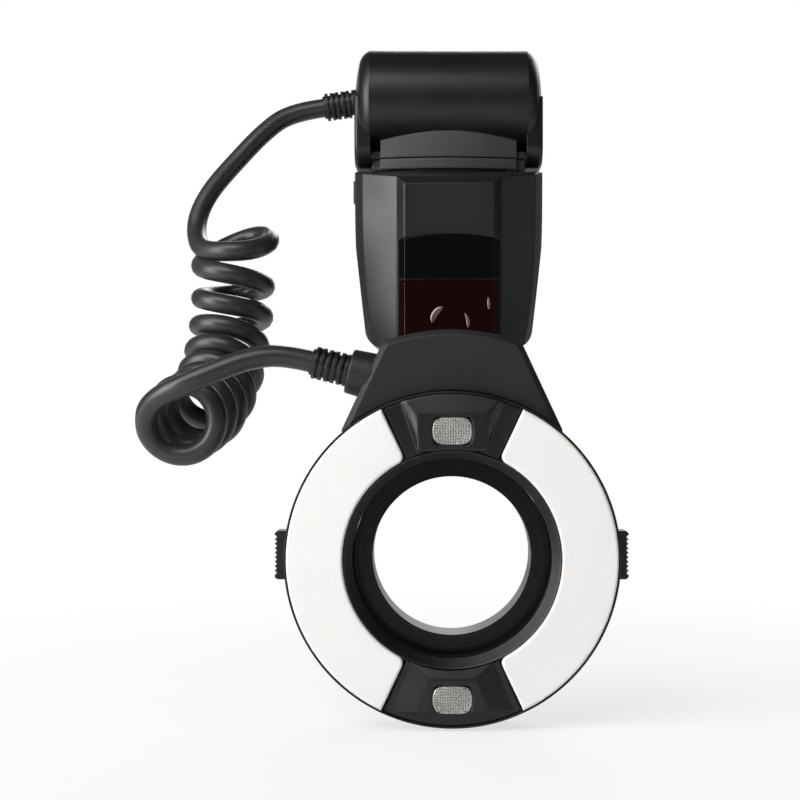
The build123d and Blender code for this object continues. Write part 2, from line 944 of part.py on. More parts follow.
def coil_frame(distance):
    """Place on the coil's axis, with the directions left and front across it."""
    down = unit(Vector(*coil_lean))
    heading = math.radians(coil_bend_heading)
    ahead = Vector(-math.cos(heading), -math.sin(heading), 0)
    ahead = unit(ahead - down * ahead.dot(down))
    across = down.cross(ahead)
    bend_length = coil_bend_radius * math.radians(coil_bend_angle)
    angle = min(max(distance - coil_straight, 0), bend_length) / coil_bend_radius
    place = Vector(*coil_top) + down * min(distance, coil_straight)
    place += down * (coil_bend_radius * math.sin(angle))
    place += ahead * (coil_bend_radius * (1 - math.cos(angle)))
    onward = down * math.cos(angle) + ahead * math.sin(angle)
    place += onward * max(distance - coil_straight - bend_length, 0)
    left = rotate_about(unit(Vector(-1, 0, 0) - down * (-down.X)), across, angle)
    return place, left, onward.cross(left) * -1


def coil_point(angle_deg):
    """Point of the coil's centre line at an angle counted through all turns."""
    total = 360 * coil_turns + coil_end_angle - coil_start_angle
    axis_length = coil_straight + coil_bend_radius * math.radians(coil_bend_angle) + coil_reach
    distance = axis_length * (angle_deg - coil_start_angle) / total
    place, left, front = coil_frame(distance)
    a = math.radians(angle_deg)
    return place + left * (coil_radius_mean * math.cos(a)) + front * (coil_radius_mean * math.sin(a))


def coil_tangent(angle_deg):
    """Direction of the coil's centre line, from two points close by."""
    return unit(coil_point(angle_deg + 0.05) - coil_point(angle_deg - 0.05))


def biarc(p0, t0, p1, t1):
    """Two tangent arcs from one point and direction to another."""
    v = p1 - p0
    t = t0 + t1
    k = 2 * (1 - t0.dot(t1))
    vt = v.dot(t)
    d = (-vt + math.sqrt(vt * vt + k * v.dot(v))) / k
    joint = ((p0 + t0 * d) + (p1 - t1 * d)) * 0.5
    first = TangentArc(p0, joint, tangent=t0)
    second = TangentArc(joint, p1, tangent=first % 1)
    return [first, second]


def coil_route():
    """Edges of the coil's centre line, straight for a diameter at each end."""
    lead_in = 2 * cord_radius
    top = Vector(*upper_route[-1])
    top_dir = unit(top - Vector(*upper_route[-2]))
    low = Vector(*lower_route[-1])
    low_dir = unit(Vector(*lower_route[-2]) - low)
    turn_total = 360 * coil_turns + coil_end_angle - coil_start_angle
    quarters = math.ceil(turn_total / 90)
    angles = [coil_start_angle + turn_total * k / quarters for k in range(quarters + 1)]
    points = [top + top_dir * lead_in] + [coil_point(a) for a in angles] + [low - low_dir * lead_in]
    tangents = [top_dir] + [coil_tangent(a) for a in angles] + [low_dir]
    edges = [Line(top, points[0])]
    for k in range(len(points) - 1):
        edges += biarc(points[k], tangents[k], points[k + 1], tangents[k + 1])
    edges.append(Line(points[-1], low))
    return edges


def least_gap(edges):
    """Smallest distance between the tube's surface and itself, on sampled points."""
    samples = []
    travelled = 0.0
    for edge in edges:
        steps = max(2, round(edge.length))
        for k in range(steps):
            p = edge @ (k / steps)
            samples.append((travelled + edge.length * k / steps, p.X, p.Y, p.Z))
        travelled += edge.length
    apart = 2 * math.pi * coil_radius_mean / 3
    best = min(
        math.dist(a[1:], b[1:])
        for n, a in enumerate(samples) for b in samples[n + 1:] if b[0] - a[0] > apart
    )
    return best - 2 * cord_radius, travelled


def cord_coil():
    """Coiled stretch of cord: one unbroken tube."""
    edges = coil_route()
    gap, length = least_gap(edges)
    print("coil length", round(length, 1), "least gap to itself", round(gap, 2))
    start = edges[0] @ 0
    face = Plane(origin=start, z_dir=edges[0] % 0) * Circle(cord_radius)
    return sweep(face, path=Wire([e.edge() for e in edges]))


# Controller drum and neck

def barrel_form(inset):
    """Barrel of the drum along X, with domed ends."""
    end = drum_half_length - inset
    radius = drum_radius - inset
    dome = drum_dome_radius - inset
    shoulder = end - drum_shoulder_in
    middle = (end - drum_dome_drop * drum_dome_bulge_share, dome * drum_dome_middle_share)
    rim = (end - drum_dome_drop, dome)
    bulge = (end - drum_shoulder_drop, drum_shoulder_radius - inset)
    half = outline_face(
        Line((0, 0), (end, 0)),
        ThreePointArc((end, 0), middle, rim),
        ThreePointArc(rim, bulge, (shoulder, radius)),
        Line((shoulder, radius), (0, radius)),
        Line((0, radius), (0, 0)),
    )
    one = revolve(half, axis=Axis.X)
    return Pos(0, 0, drum_axis_z) * (one + mirror(one, about=Plane.YZ))


def ears():
    """Tongue at each end of the drum, down beside the neck."""
    low = ear_bottom
    tall = drum_axis_z - low
    tongue = Pos(0, (drum_axis_z + low) / 2) * Rectangle(2 * ear_half_depth, tall)
    tongue = fillet(tongue.vertices().sort_by(Axis.Y)[:2], ear_round)
    plate = Rot(0, 0, 90) * Rot(90, 0, 0) * extrude(tongue, ear_thick)
    outer = plate.faces().sort_by(Axis.X)[-1]
    edges = [e for e in outer.edges() if e.center().Z < drum_axis_z - seat_gap]
    plate = Pos(drum_half_length - ear_thick, 0, 0) * fillet(edges, ear_edge_round)
    return plate + mirror(plate, about=Plane.YZ)


def drum_form():
    """Whole drum with its ears."""
    return barrel_form(0) + ears()


def drum_shells():
    """Front and rear shells of the drum, with saddles for the capacitor."""
    hollow = along_x(
        drum_radius - shell_wall, -drum_half_length + ear_thick, drum_half_length - ear_thick,
        0, drum_axis_z,
    )
    form = drum_form() - hollow - at_drum_end(relief_socket())
    for x in (-capacitor_length / 3, capacitor_length / 3):
        rib = along_x(
            drum_radius - shell_wall / 2, x - shell_wall / 2, x + shell_wall / 2, 0, drum_axis_z)
        rib -= along_x(capacitor_radius + free_gap, x - overrun, x + overrun, 0, drum_axis_z)
        form += rib
    big = 4 * drum_radius
    front = form & block(-big, big, -big, drum_seam_y, 0, 2 * big)
    rear = form & block(-big, big, drum_seam_y, big, 0, 2 * big)
    return front, rear


def flash_capacitor():
    """Main capacitor inside the drum."""
    can = along_x(capacitor_radius, -capacitor_length / 2, capacitor_length / 2, 0, drum_axis_z)
    return chamfer(can.edges().filter_by(GeomType.CIRCLE), seat_gap * 5)


def cord_anchor():
    """Clamp that holds the cord's end inside the drum."""
    inner = -drum_half_length + ear_thick
    clamp = block(
        inner + seat_gap, inner + seat_gap + anchor_length, -anchor_half, anchor_half,
        drum_axis_z - anchor_half, drum_axis_z + anchor_half,
    )
    return clamp - along_x(cord_radius, inner - overrun, inner + anchor_length / 2, 0, drum_axis_z)


def neck_plan(setback):
    """Bowed plan of the neck."""
    half = neck_half_width - setback
    middle = neck_front_middle - setback
    side = neck_front_side - setback
    return outline_face(
        ThreePointArc((-half, -side), (0, -middle), (half, -side)),
        Line((half, -side), (half, side)),
        ThreePointArc((half, side), (0, middle), (-half, side)),
        Line((-half, side), (-half, -side)),
    )


def neck_shoulder(low, high):
    """Wider part at the back of the neck, between the ears."""
    half = drum_half_length - ear_thick - neck_shoulder_gap
    return block(-half, half, -neck_shoulder_front, neck_front_side, low, high)


def neck_upper():
    """Bowed block that carries the drum."""
    low = neck_seam_z + neck_seam_gap
    form = prism(neck_plan(0), low, drum_axis_z) + neck_shoulder(low, neck_shoulder_top)
    hub = prism(neck_plan(neck_hub_setback), neck_seam_z, low + neck_seam_gap)
    seat = along_x(
        drum_radius + seat_gap, -drum_half_length, drum_half_length, 0, drum_axis_z)
    return form + hub - seat


def neck_lower():
    """Bowed disc on the body with a narrower hub below it."""
    plate = prism(neck_plan(0), neck_bottom_z, neck_seam_z)
    plate += neck_shoulder(neck_bottom_z, neck_seam_z)
    hub = prism(neck_plan(neck_hub_setback), body_top_z, neck_bottom_z)
    return plate + hub


# Controller body

def body_width(level):
    """Half width of the body at a level: the sides draw in towards the foot."""
    share = (body_top_z - level) / (body_top_z - body_bottom_z)
    return body_half_width - body_bow * share ** body_bow_power


def body_section(level, inset):
    """Plan of the body at one level, with facets, valleys and the raised block."""
    w = body_width(level) - inset
    facet = w * facet_share
    depth = inset
    side = block_half_width - inset / 2
    points = [
        (side - block_edge, block_front_y + depth),
        (side, block_front_y + block_edge + depth),
        (valley_half_width - inset / 2, valley_y + depth),
        (facet, facet_y + depth / 2),
        (w, widest_y),
        (w, back_corner_y),
        (w - back_corner_bulge, body_back_y - back_corner_bulge - depth),
        (w - back_corner_in, body_back_y - depth),
    ]
    mirrored = [(-x, y) for x, y in reversed(points)]
    return make_face(Polyline(*[(x, y, level) for x, y in points + mirrored], close=True))


def body_front_view(inset):
    """Rounded lower corners of the body, seen from the front."""
    half = body_half_width + overrun
    low = body_bottom_z + inset
    width = body_width(low) - inset
    face = outline_face(
        Line((-width, low), (width, low)),
        Line((width, low), (half, body_top_z)),
        Line((half, body_top_z), (-half, body_top_z)),
        Line((-half, body_top_z), (-width, low)),
    )
    return fillet(face.vertices().sort_by(Axis.Y)[:2], body_bottom_round)


@functools.lru_cache(maxsize=None)
def body_form(inset):
    """Body of the controller, shrunk by an inset."""
    bottom = body_bottom_z + inset
    step = (body_top_z - inset - bottom) / (body_section_count - 1)
    form = loft([body_section(bottom + step * k, inset) for k in range(body_section_count)])
    depth = body_back_y - block_front_y + overrun
    form = form & (Rot(90, 0, 0) * extrude(body_front_view(inset), depth, both=True))
    top = body_top_z - inset
    slope = Polyline(
        (top_slope_y, top + overrun), (top_slope_y, top), (top_ridge_y, top - top_ridge_drop),
        (block_front_y, top - top_bevel_drop), (block_front_y - overrun, top - top_bevel_drop),
        (block_front_y - overrun, top + overrun), close=True,
    )
    reach = body_half_width + overrun
    cut = Rot(0, 0, 90) * Rot(90, 0, 0) * extrude(make_face(slope), reach, both=True)
    return form - cut


def window_zone(bottom, side, top, grow):
    """Space that a front window fills, with an arched top."""
    half = window_half_width + grow
    face = outline_face(
        Line((-half, bottom - grow), (half, bottom - grow)),
        Line((half, bottom - grow), (half, side + grow)),
        ThreePointArc((half, side + grow), (0, top + grow), (-half, side + grow)),
        Line((-half, side + grow), (-half, bottom - grow)),
    )
    depth = window_back_y - block_front_y + overrun
    return Pos(0, window_back_y, 0) * Rot(90, 0, 0) * extrude(face, depth)


def sensor_zone(grow):
    """Space of the black window."""
    return window_zone(sensor_bottom_z, sensor_side_z, sensor_top_z, grow)


def assist_zone(grow):
    """Space of the deep red window."""
    top = sensor_bottom_z - window_seam
    return window_zone(assist_bottom_z, top - window_seam / 2, top, grow)


def key_face(width, height):
    """Rounded outline of a key."""
    return fillet(Rectangle(width, height).vertices(), key_round)


def back_prism(face, x, z, y0, y1):
    """Outline in the back panel's plane made solid between two depths."""
    return Pos(x, y1, z) * Rot(90, 0, 0) * extrude(face, y1 - y0)


def key_table():
    """Name, outline, place and shrink allowance of every key."""
    wide = (function_key_width, function_key_height)
    keys = []
    for k, x in enumerate(function_key_xs):
        keys.append((f"function_key_{k + 1}", wide, x, function_key_z))
    flat = (pad_key_long, pad_key_short)
    tall = (pad_key_short, pad_key_long)
    keys.append(("pad_key_up", flat, 0, pad_centre_z + pad_reach))
    keys.append(("pad_key_down", flat, 0, pad_centre_z - pad_reach))
    keys.append(("pad_key_left", tall, -pad_reach, pad_centre_z))
    keys.append(("pad_key_right", tall, pad_reach, pad_centre_z))
    return keys


def round_keys():
    """Name, radius and place of the round keys."""
    return [("ok_key", ok_radius, 0, pad_centre_z), ("test_button", test_radius, test_x, pad_centre_z)]


def key(outline, flange, x, z):
    """Key cap with a flange behind the wall and a stem to its switch."""
    wall_inner = body_back_y - back_wall
    flange_top = wall_inner - free_gap
    flange_low = flange_top - key_flange_thick
    cap = back_prism(outline, x, z, flange_low, body_back_y + key_proud)
    rim = cap.faces().sort_by(Axis.Y)[-1].edges()
    cap = fillet(rim, key_proud / 3)
    cap += back_prism(flange, x, z, flange_low, flange_top)
    return cap + along_y(key_stem_radius, x, z, flange_low - key_stem_length, flange_low)


def rear_openings():
    """Everything cut through the back wall."""
    y0 = body_back_y - back_wall - overrun
    y1 = body_back_y + overrun
    cuts = []
    for name, (w, h), x, z in key_table():
        cuts.append(back_prism(key_face(w + 2 * free_gap, h + 2 * free_gap), x, z, y0, y1))
    for name, r, x, z in round_keys():
        cuts.append(back_prism(Circle(r + free_gap), x, z, y0, y1))
    slot = Rectangle(2 * (switch_half_width + free_gap),
                     2 * (switch_half_height + free_gap) + switch_travel)
    cuts.append(back_prism(slot, switch_x, pad_centre_z + switch_travel / 2, y0, y1))
    middle = (lcd_bottom_z + lcd_top_z) / 2
    height = lcd_top_z - lcd_bottom_z
    view = Rectangle(2 * (lcd_half_width - lcd_border), height - 2 * lcd_border)
    cuts.append(back_prism(view, 0, middle, y0, y1))
    seat = fillet(Rectangle(2 * (lcd_half_width + seat_gap), height + 2 * seat_gap).vertices(), lcd_corner)
    cuts.append(back_prism(seat, 0, middle, body_back_y - lcd_window_thick, y1))
    return cuts


def door_zone(grow):
    """Space that the battery door fills in the side wall."""
    return block(
        -body_half_width - overrun, door_axis_x + door_knuckle + grow,
        door_front_y - grow, door_axis_y + door_knuckle + grow,
        door_bottom_z - grow, door_top_z + grow,
    )


def pin_bosses():
    """Blocks inside the shell that hold the ends of the door's pin."""
    wide = door_knuckle + free_gap
    low = block(
        door_axis_x - door_pin_radius, door_axis_x + wide, door_axis_y - wide, door_axis_y + wide,
        door_bottom_z - free_gap - 2 * door_pin_grip, door_bottom_z - free_gap,
    )
    high = block(
        door_axis_x - door_pin_radius, door_axis_x + wide, door_axis_y - wide, door_axis_y + wide,
        door_top_z + free_gap, body_top_z - shell_wall / 2,
    )
    return low + high


def body_shells():
    """Front and rear shells of the controller."""
    outer = body_form(0)
    form = outer - body_form(shell_wall)
    form += pin_bosses() & outer
    for zone in (sensor_zone(fine_gap / 2), assist_zone(fine_gap / 2)):
        form -= zone
    seat = body_form(window_wall + seat_gap) - body_form(2 * shell_wall)
    bed = window_zone(assist_bottom_z - shell_wall, sensor_side_z + shell_wall,
                      sensor_top_z + shell_wall, 0)
    hole = block(
        -block_half_width + 2 * shell_wall, block_half_width - 2 * shell_wall,
        block_front_y - overrun, facet_y, assist_bottom_z + shell_wall, sensor_side_z - shell_wall,
    )
    form += (seat & bed) - hole
    form -= door_zone(free_gap)
    pin_low = door_bottom_z - free_gap - door_pin_grip
    pin_high = door_top_z + free_gap + door_pin_grip / 2
    form -= Pos(door_axis_x, door_axis_y, 0) * disc(door_pin_radius, pin_low, pin_high)
    for cut in rear_openings():
        form -= cut
    for x, y in base_screw_places():
        form -= Pos(x, y, 0) * disc(screw_shank_radius, 0, body_bottom_z + shell_wall + overrun)
    big = 3 * body_top_z
    front = form & block(-big, big, -big, body_seam_y, 0, big)
    rear = form & block(-big, big, body_seam_y, big, 0, big)
    return front, rear


def sensor_window():
    """Black window that wraps round the raised block."""
    return (body_form(0) - body_form(window_wall)) & sensor_zone(-fine_gap / 2)


def assist_window():
    """Deep red window below it."""
    return (body_form(0) - body_form(window_wall)) & assist_zone(-fine_gap / 2)


def assist_lamp_reflectors():
    """Carrier plate with three bowls behind the red window."""
    back = facet_y
    front = back - bowl_carrier_thick
    plate = block(
        -block_half_width + shell_wall, block_half_width - shell_wall,
        front, back, assist_bottom_z, sensor_bottom_z,
    )
    for x, z, r in zip(bowl_x, bowl_z, bowl_radii):
        plate += along_y(r, x, z, front - r / 2, front)
        bowl = Rot(90, 0, 0) * Cone(r / 3, r - bowl_wall, r / 2 + bowl_wall)
        plate -= Pos(x, front - r / 4 - bowl_wall / 2, z) * bowl
    return plate


def battery_door():
    """Side door with a knuckle at its rear edge, a lug and an inner pad."""
    outer = body_form(0)
    door = (outer - body_form(door_thick)) & door_zone(0)
    knuckle = Pos(door_axis_x, door_axis_y, 0) * disc(door_knuckle, door_bottom_z, door_top_z)
    behind = block(
        -body_half_width - overrun, door_axis_x + overrun, door_axis_y,
        door_axis_y + 2 * door_knuckle, door_bottom_z - overrun, door_top_z + overrun,
    )
    door = (door - behind) + (knuckle & outer)
    pad_x = door_axis_x + door_pad_thick
    door += block(
        door_axis_x - seat_gap, pad_x, door_front_y + door_thick, door_axis_y - 2 * door_knuckle,
        door_bottom_z + door_thick, door_top_z - door_thick,
    )
    lug_z = door_top_z - door_lug_height
    lug_y = widest_y + shell_wall
    door += block(
        -body_half_width - door_lug_proud, -body_half_width + shell_wall / 2,
        lug_y, lug_y + door_lug_depth, lug_z, door_top_z - seat_gap,
    )
    bore = Pos(door_axis_x, door_axis_y, 0) * disc(
        door_pin_radius + pin_gap, door_bottom_z - overrun, door_top_z + overrun)
    return door - bore


def battery_door_pin():
    """Steel pin of the battery door."""
    low = door_bottom_z - free_gap - door_pin_grip
    high = door_top_z + free_gap + door_pin_grip / 2
    return Pos(door_axis_x, door_axis_y, 0) * disc(door_pin_radius, low, high)


def cell_places():
    """Centres of the four cells across the compartment."""
    half = cell_pitch / 2
    return [(cell_centre_y + sy * half, cell_centre_z + sz * half) for sy in (-1, 1) for sz in (-1, 1)]


def aa_cells():
    """Four cells lying across the body, alternating."""
    cells = []
    for k, (y, z) in enumerate(cell_places()):
        start = cell_start_x
        end = start + cell_length
        can = along_x(cell_radius, start, end, y, z)
        if k in (0, 3):
            can += along_x(cell_button_radius, end, end + cell_button_length, y, z)
        else:
            can += along_x(cell_button_radius, start - cell_button_length, start, y, z)
        cells.append(can)
    return group(cells)


def battery_tray():
    """Open box with a bore for each cell."""
    half = cell_pitch / 2 + cell_radius + free_gap + tray_wall
    end = cell_start_x + cell_length + cell_button_length + 2 * contact_thick + tray_wall
    tray = block(
        tray_start_x, end, cell_centre_y - half, cell_centre_y + half,
        cell_centre_z - half, cell_centre_z + half,
    )
    for y, z in cell_places():
        tray -= along_x(cell_radius + free_gap, tray_start_x - overrun, end - tray_wall, y, z)
    strip = contact_half + seat_gap
    tray -= block(
        end - tray_wall - 2 * contact_thick, end - tray_wall,
        cell_centre_y - cell_pitch / 2 - strip, cell_centre_y + cell_pitch / 2 + strip,
        cell_centre_z - cell_pitch / 2 - strip, cell_centre_z + cell_pitch / 2 + strip,
    )
    return tray


def contact_plates(x, toward):
    """Two strips, each bridging a pair of cells, with a bump for each cell."""
    plates = []
    for sy in (-1, 1):
        y = cell_centre_y + sy * cell_pitch / 2
        strip = block(
            min(x, x + toward * contact_thick), max(x, x + toward * contact_thick),
            y - contact_half, y + contact_half,
            cell_centre_z - cell_pitch / 2 - contact_half, cell_centre_z + cell_pitch / 2 + contact_half,
        )
        plates.append(strip)
    return plates


def battery_contacts():
    """Contact strips at the inner end of the compartment."""
    x = cell_start_x + cell_length + cell_button_length + fine_gap
    return group(contact_plates(x, 1))


def battery_door_contacts():
    """Contact strips with springs on the inside of the door."""
    x = door_axis_x + door_pad_thick
    plates = contact_plates(x, 1)
    made = []
    for plate in plates:
        for sz in (-1, 1):
            y = plate.center().Y
            z = cell_centre_z + sz * cell_pitch / 2
            end = cell_start_x - cell_button_length - fine_gap
            plate += along_x(contact_spring_radius, x + contact_thick, end, y, z)
        made.append(plate)
    return group(made)


def lcd_window():
    """Clear cover of the display."""
    middle = (lcd_bottom_z + lcd_top_z) / 2
    face = fillet(Rectangle(2 * lcd_half_width, lcd_top_z - lcd_bottom_z).vertices(), lcd_corner)
    return back_prism(face, 0, middle, body_back_y - lcd_window_thick, body_back_y)


def lcd_panel():
    """Display module behind its cover."""
    middle = (lcd_bottom_z + lcd_top_z) / 2
    y1 = body_back_y - back_wall - seat_gap
    height = lcd_top_z - lcd_bottom_z
    face = Rectangle(2 * (lcd_half_width - seat_gap), height)
    return back_prism(face, 0, middle, y1 - lcd_panel_thick, y1)


def power_switch():
    """Slide knob in its slot, with a flange behind the wall."""
    knob = Rectangle(2 * switch_half_width, 2 * switch_half_height)
    wall_inner = body_back_y - back_wall
    y1 = body_back_y + switch_proud
    body = back_prism(knob, switch_x, pad_centre_z, wall_inner - free_gap, y1)
    ridge_edges = body.faces().sort_by(Axis.Y)[-1].edges().filter_by(Axis.X)
    body = chamfer(ridge_edges, switch_proud / 3)
    flange = Rectangle(2 * (switch_half_width + switch_flange), 2 * (switch_half_height + switch_flange))
    return body + back_prism(
        flange, switch_x, pad_centre_z, wall_inner - free_gap - key_flange_thick, wall_inner - free_gap)


def key_circuit_board():
    """Board behind the keys, with a dome switch under each key."""
    wall_inner = body_back_y - back_wall
    stem_end = wall_inner - free_gap - key_flange_thick - key_stem_length
    y1 = stem_end - key_travel - free_gap
    board = block(
        -key_board_half_width, key_board_half_width, y1 - board_thick, y1,
        key_board_bottom_z, key_board_top_z,
    )
    return board


def main_circuit_board():
    """Main board in front of the battery tray."""
    half = cell_pitch / 2 + cell_radius + free_gap + tray_wall
    y1 = cell_centre_y - half - free_gap
    return block(
        -main_board_half_width, main_board_half_width, y1 - board_thick, y1,
        main_board_bottom_z, main_board_top_z,
    )


# Foot

def base_screw_places():
    """Corners of the foot's base."""
    return [(sx * base_screw_x, sy * base_screw_y) for sx in (-1, 1) for sy in (-1, 1)]


def shoe_foot():
    """Foot plate, neck, boss and base plate in one casting."""
    plate = block(-foot_width / 2, foot_width / 2, -foot_length / 2, foot_length / 2, 0, foot_thick)
    plate = chamfer(plate.edges().filter_by(Axis.Z), foot_chamfer)
    neck = block(
        -foot_neck_width / 2, foot_neck_width / 2, -foot_length / 2 + foot_chamfer,
        foot_length / 2 - foot_chamfer, foot_thick, foot_neck_top_z,
    )
    boss = disc(foot_boss_radius, foot_neck_top_z, base_bottom_z)
    outline = fillet(Rectangle(2 * base_half_width, 2 * base_half_length).vertices(), base_round)
    base = prism(outline, base_bottom_z, body_bottom_z)
    base = chamfer(base.faces().sort_by(Axis.Z)[0].edges(), base_edge)
    foot = plate + neck + boss + base
    foot -= Pos(0, lock_pin_y, 0) * disc(
        lock_pin_radius + free_gap, -overrun, lock_pin_rest_z + lock_pin_length + free_gap)
    for x, y, r in zip(contact_xs, contact_ys, contact_radii):
        foot -= Pos(x, y, 0) * disc(r + free_gap, -overrun, contact_length + contact_travel)
    for x, y in base_screw_places():
        foot -= Pos(x, y, 0) * disc(screw_head_radius + fine_gap, -overrun, base_bottom_z + screw_head_depth)
        foot -= Pos(x, y, 0) * disc(screw_shank_radius, 0, body_bottom_z + overrun)
    return foot


def lock_wheel():
    """Knurled wheel that clamps the foot in the shoe."""
    wheel = ring(foot_boss_radius + free_gap, wheel_radius, wheel_bottom_z, wheel_top_z)
    for k in range(wheel_groove_count):
        turn = Rot(0, 0, 360 * k / wheel_groove_count)
        wheel -= turn * Pos(wheel_radius, 0, 0) * disc(
            wheel_groove_radius, wheel_bottom_z - overrun, wheel_top_z + overrun)
    return wheel


def lock_pin():
    """Pin that drops into the shoe's hole when the wheel is tightened."""
    pin = Pos(0, lock_pin_y, 0) * disc(
        lock_pin_radius, lock_pin_rest_z, lock_pin_rest_z + lock_pin_length)
    return chamfer(pin.edges().sort_by(Axis.Z)[0], lock_pin_radius / 3)


def contact_pins():
    """Five sprung contacts in the underside of the foot."""
    pins = []
    for x, y, r in zip(contact_xs, contact_ys, contact_radii):
        pin = Pos(x, y, 0) * disc(r, -contact_proud, contact_length - contact_proud)
        pins.append(chamfer(pin.edges().sort_by(Axis.Z)[0], contact_proud))
    return group(pins)


def foot_screws():
    """Four screws up through the base into the body."""
    return [screw(x, y, base_bottom_z) for x, y in base_screw_places()]


def all_nodes():
    """Every sub-part by name, in the object's frame."""
    nodes = {
        "ring_rear_housing": ring_place(ring_rear_housing()),
        "ring_front_frame": ring_place(ring_front_frame()),
        "hood_front_cover": ring_place(hood_front_cover()),
        "cable_horn": ring_place(horn_solid() - at_horn_end(relief_socket())),
        "top_spacer": ring_place(top_spacer()),
        "bottom_spacer": ring_place(bottom_spacer()),
        "right_diffuser": ring_place(diffuser(0)),
        "left_diffuser": ring_place(diffuser(180)),
        "flash_tubes": group([ring_place(flash_tube(middle)) for middle in (0, 180)]),
        "flash_reflectors": group([ring_place(reflector(middle)) for middle in (0, 180)]),
        "lamp_lenses": group([ring_place(lamp_lens(y)) for y in (top_lamp_y, low_lamp_y)]),
        "lamp_leds": group([ring_place(lamp_led(y)) for y in (top_lamp_y, low_lamp_y)]),
        "release_button_right": ring_place(release_button(1, yoke_levels[0])),
        "release_button_left": ring_place(release_button(-1, yoke_levels[1])),
        "release_springs_right": ring_place(release_springs(1)),
        "release_springs_left": ring_place(release_springs(-1)),
        "adapter_ring": ring_place(adapter_ring()),
        "ring_circuit_board": ring_place(ring_circuit_board()),
        "trigger_coil": ring_place(trigger_coil()),
        "case_screws": group(ring_screws() + foot_screws()),
        "strain_relief_ring": ring_place(at_horn_end(strain_relief())),
        "strain_relief_drum": at_drum_end(strain_relief()),
        "cord_lead_upper": cord_lead(upper_route, "upper lead"),
        "cord_lead_lower": cord_lead(lower_route, "lower lead"),
        "cord_coil": cord_coil(),
        "flash_capacitor": flash_capacitor(),
        "cord_anchor": cord_anchor(),
        "neck_upper": neck_upper(),
        "neck_lower": neck_lower(),
        "sensor_window": sensor_window(),
        "assist_window": assist_window(),
        "assist_lamp_reflectors": assist_lamp_reflectors(),
        "battery_door": battery_door(),
        "battery_door_pin": battery_door_pin(),
        "battery_door_contacts": battery_door_contacts(),
        "battery_tray": battery_tray(),
        "aa_cells": aa_cells(),
        "battery_contacts": battery_contacts(),
        "lcd_window": lcd_window(),
        "lcd_panel": lcd_panel(),
        "power_switch": power_switch(),
        "controller_boards": group([key_circuit_board(), main_circuit_board()]),
        "shoe_foot": shoe_foot(),
        "lock_wheel": lock_wheel(),
        "lock_pin": lock_pin(),
        "contact_pins": contact_pins(),
    }
    nodes["drum_front_shell"], nodes["drum_rear_shell"] = drum_shells()
    nodes["body_front_shell"], nodes["body_rear_shell"] = body_shells()
    grow = 2 * key_flange_in
    for name, (w, h), x, z in key_table():
        nodes[name] = key(key_face(w, h), key_face(w + grow, h + grow), x, z)
    for name, r, x, z in round_keys():
        nodes[name] = key(Circle(r), Circle(r + key_flange_in), x, z)
    return nodes


os.makedirs("parts", exist_ok=True)
for node_name, node_shape in all_nodes().items():
    export_step(node_shape, f"parts/{node_name}.step")
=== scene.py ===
# %% [markdown]
# # Macro ring flash
#
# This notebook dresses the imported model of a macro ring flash: a ring head with
# two opal windows, a curly cord and an upright controller with a drum on top.
# The solids come from CAD and already have the right sizes. Here they get
# moulded plastic, rubber and acrylic, and the pieces that CAD leaves plain, such
# as the cord and the prisms of the lamp windows, are modelled anew.
#
# Blender and the CAD share one frame: X points right, Y away from the viewer and
# Z up, and the origin is the middle of the underside of the controller's foot.
# Blender counts in metres, so a length in millimetres is multiplied by mm.

# %% Load the frame
import json
import math

import bpy
from mathutils import Matrix, Vector


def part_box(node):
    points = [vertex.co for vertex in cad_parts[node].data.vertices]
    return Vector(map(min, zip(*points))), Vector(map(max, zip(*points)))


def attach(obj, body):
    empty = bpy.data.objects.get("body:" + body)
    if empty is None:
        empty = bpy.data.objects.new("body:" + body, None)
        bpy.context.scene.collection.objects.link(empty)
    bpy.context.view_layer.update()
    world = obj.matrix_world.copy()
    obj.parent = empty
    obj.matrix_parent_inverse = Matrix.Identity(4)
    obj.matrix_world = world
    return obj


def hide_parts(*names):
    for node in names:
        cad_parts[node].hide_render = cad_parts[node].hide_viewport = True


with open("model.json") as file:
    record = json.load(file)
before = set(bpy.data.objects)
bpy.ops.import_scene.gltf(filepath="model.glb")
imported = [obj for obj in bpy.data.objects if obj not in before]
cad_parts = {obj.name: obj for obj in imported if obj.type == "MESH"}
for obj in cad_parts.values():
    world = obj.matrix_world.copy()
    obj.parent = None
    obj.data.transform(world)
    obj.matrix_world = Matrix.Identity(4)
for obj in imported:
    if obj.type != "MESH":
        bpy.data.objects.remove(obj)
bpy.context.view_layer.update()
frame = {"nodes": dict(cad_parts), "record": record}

nodes = frame["nodes"]
mm = 0.001
# Height of the ring's axis, in millimetres.
ring_level = -56.0

# %% [markdown]
# ## The camera first
#
# The photograph was taken straight from the front, from a point a little to the
# left of the ring's middle and at the height of the foot. A camera is easiest to
# trust when it is set from numbers: its place, its focal length, and a small
# sideways shift because the picture was cropped. It looks along +Y.

# %% Camera
camera_place = Vector((-7.47, -590.0, -2.6)) * mm
camera_focal = 64.8
camera_sensor = 36.0
camera_shift = -0.0375
nearest_seen = 0.01

camera_data = bpy.data.cameras.new("studio_camera")
camera_data.lens = camera_focal
camera_data.sensor_width = camera_sensor
camera_data.shift_x = camera_shift
camera_data.clip_start = nearest_seen
camera = bpy.data.objects.new("studio_camera", camera_data)
camera.location = camera_place
camera.rotation_euler = (math.radians(90), 0, 0)
bpy.context.scene.collection.objects.link(camera)
bpy.context.scene.camera = camera
print("camera", tuple(camera.location), "focal length", camera_data.lens)

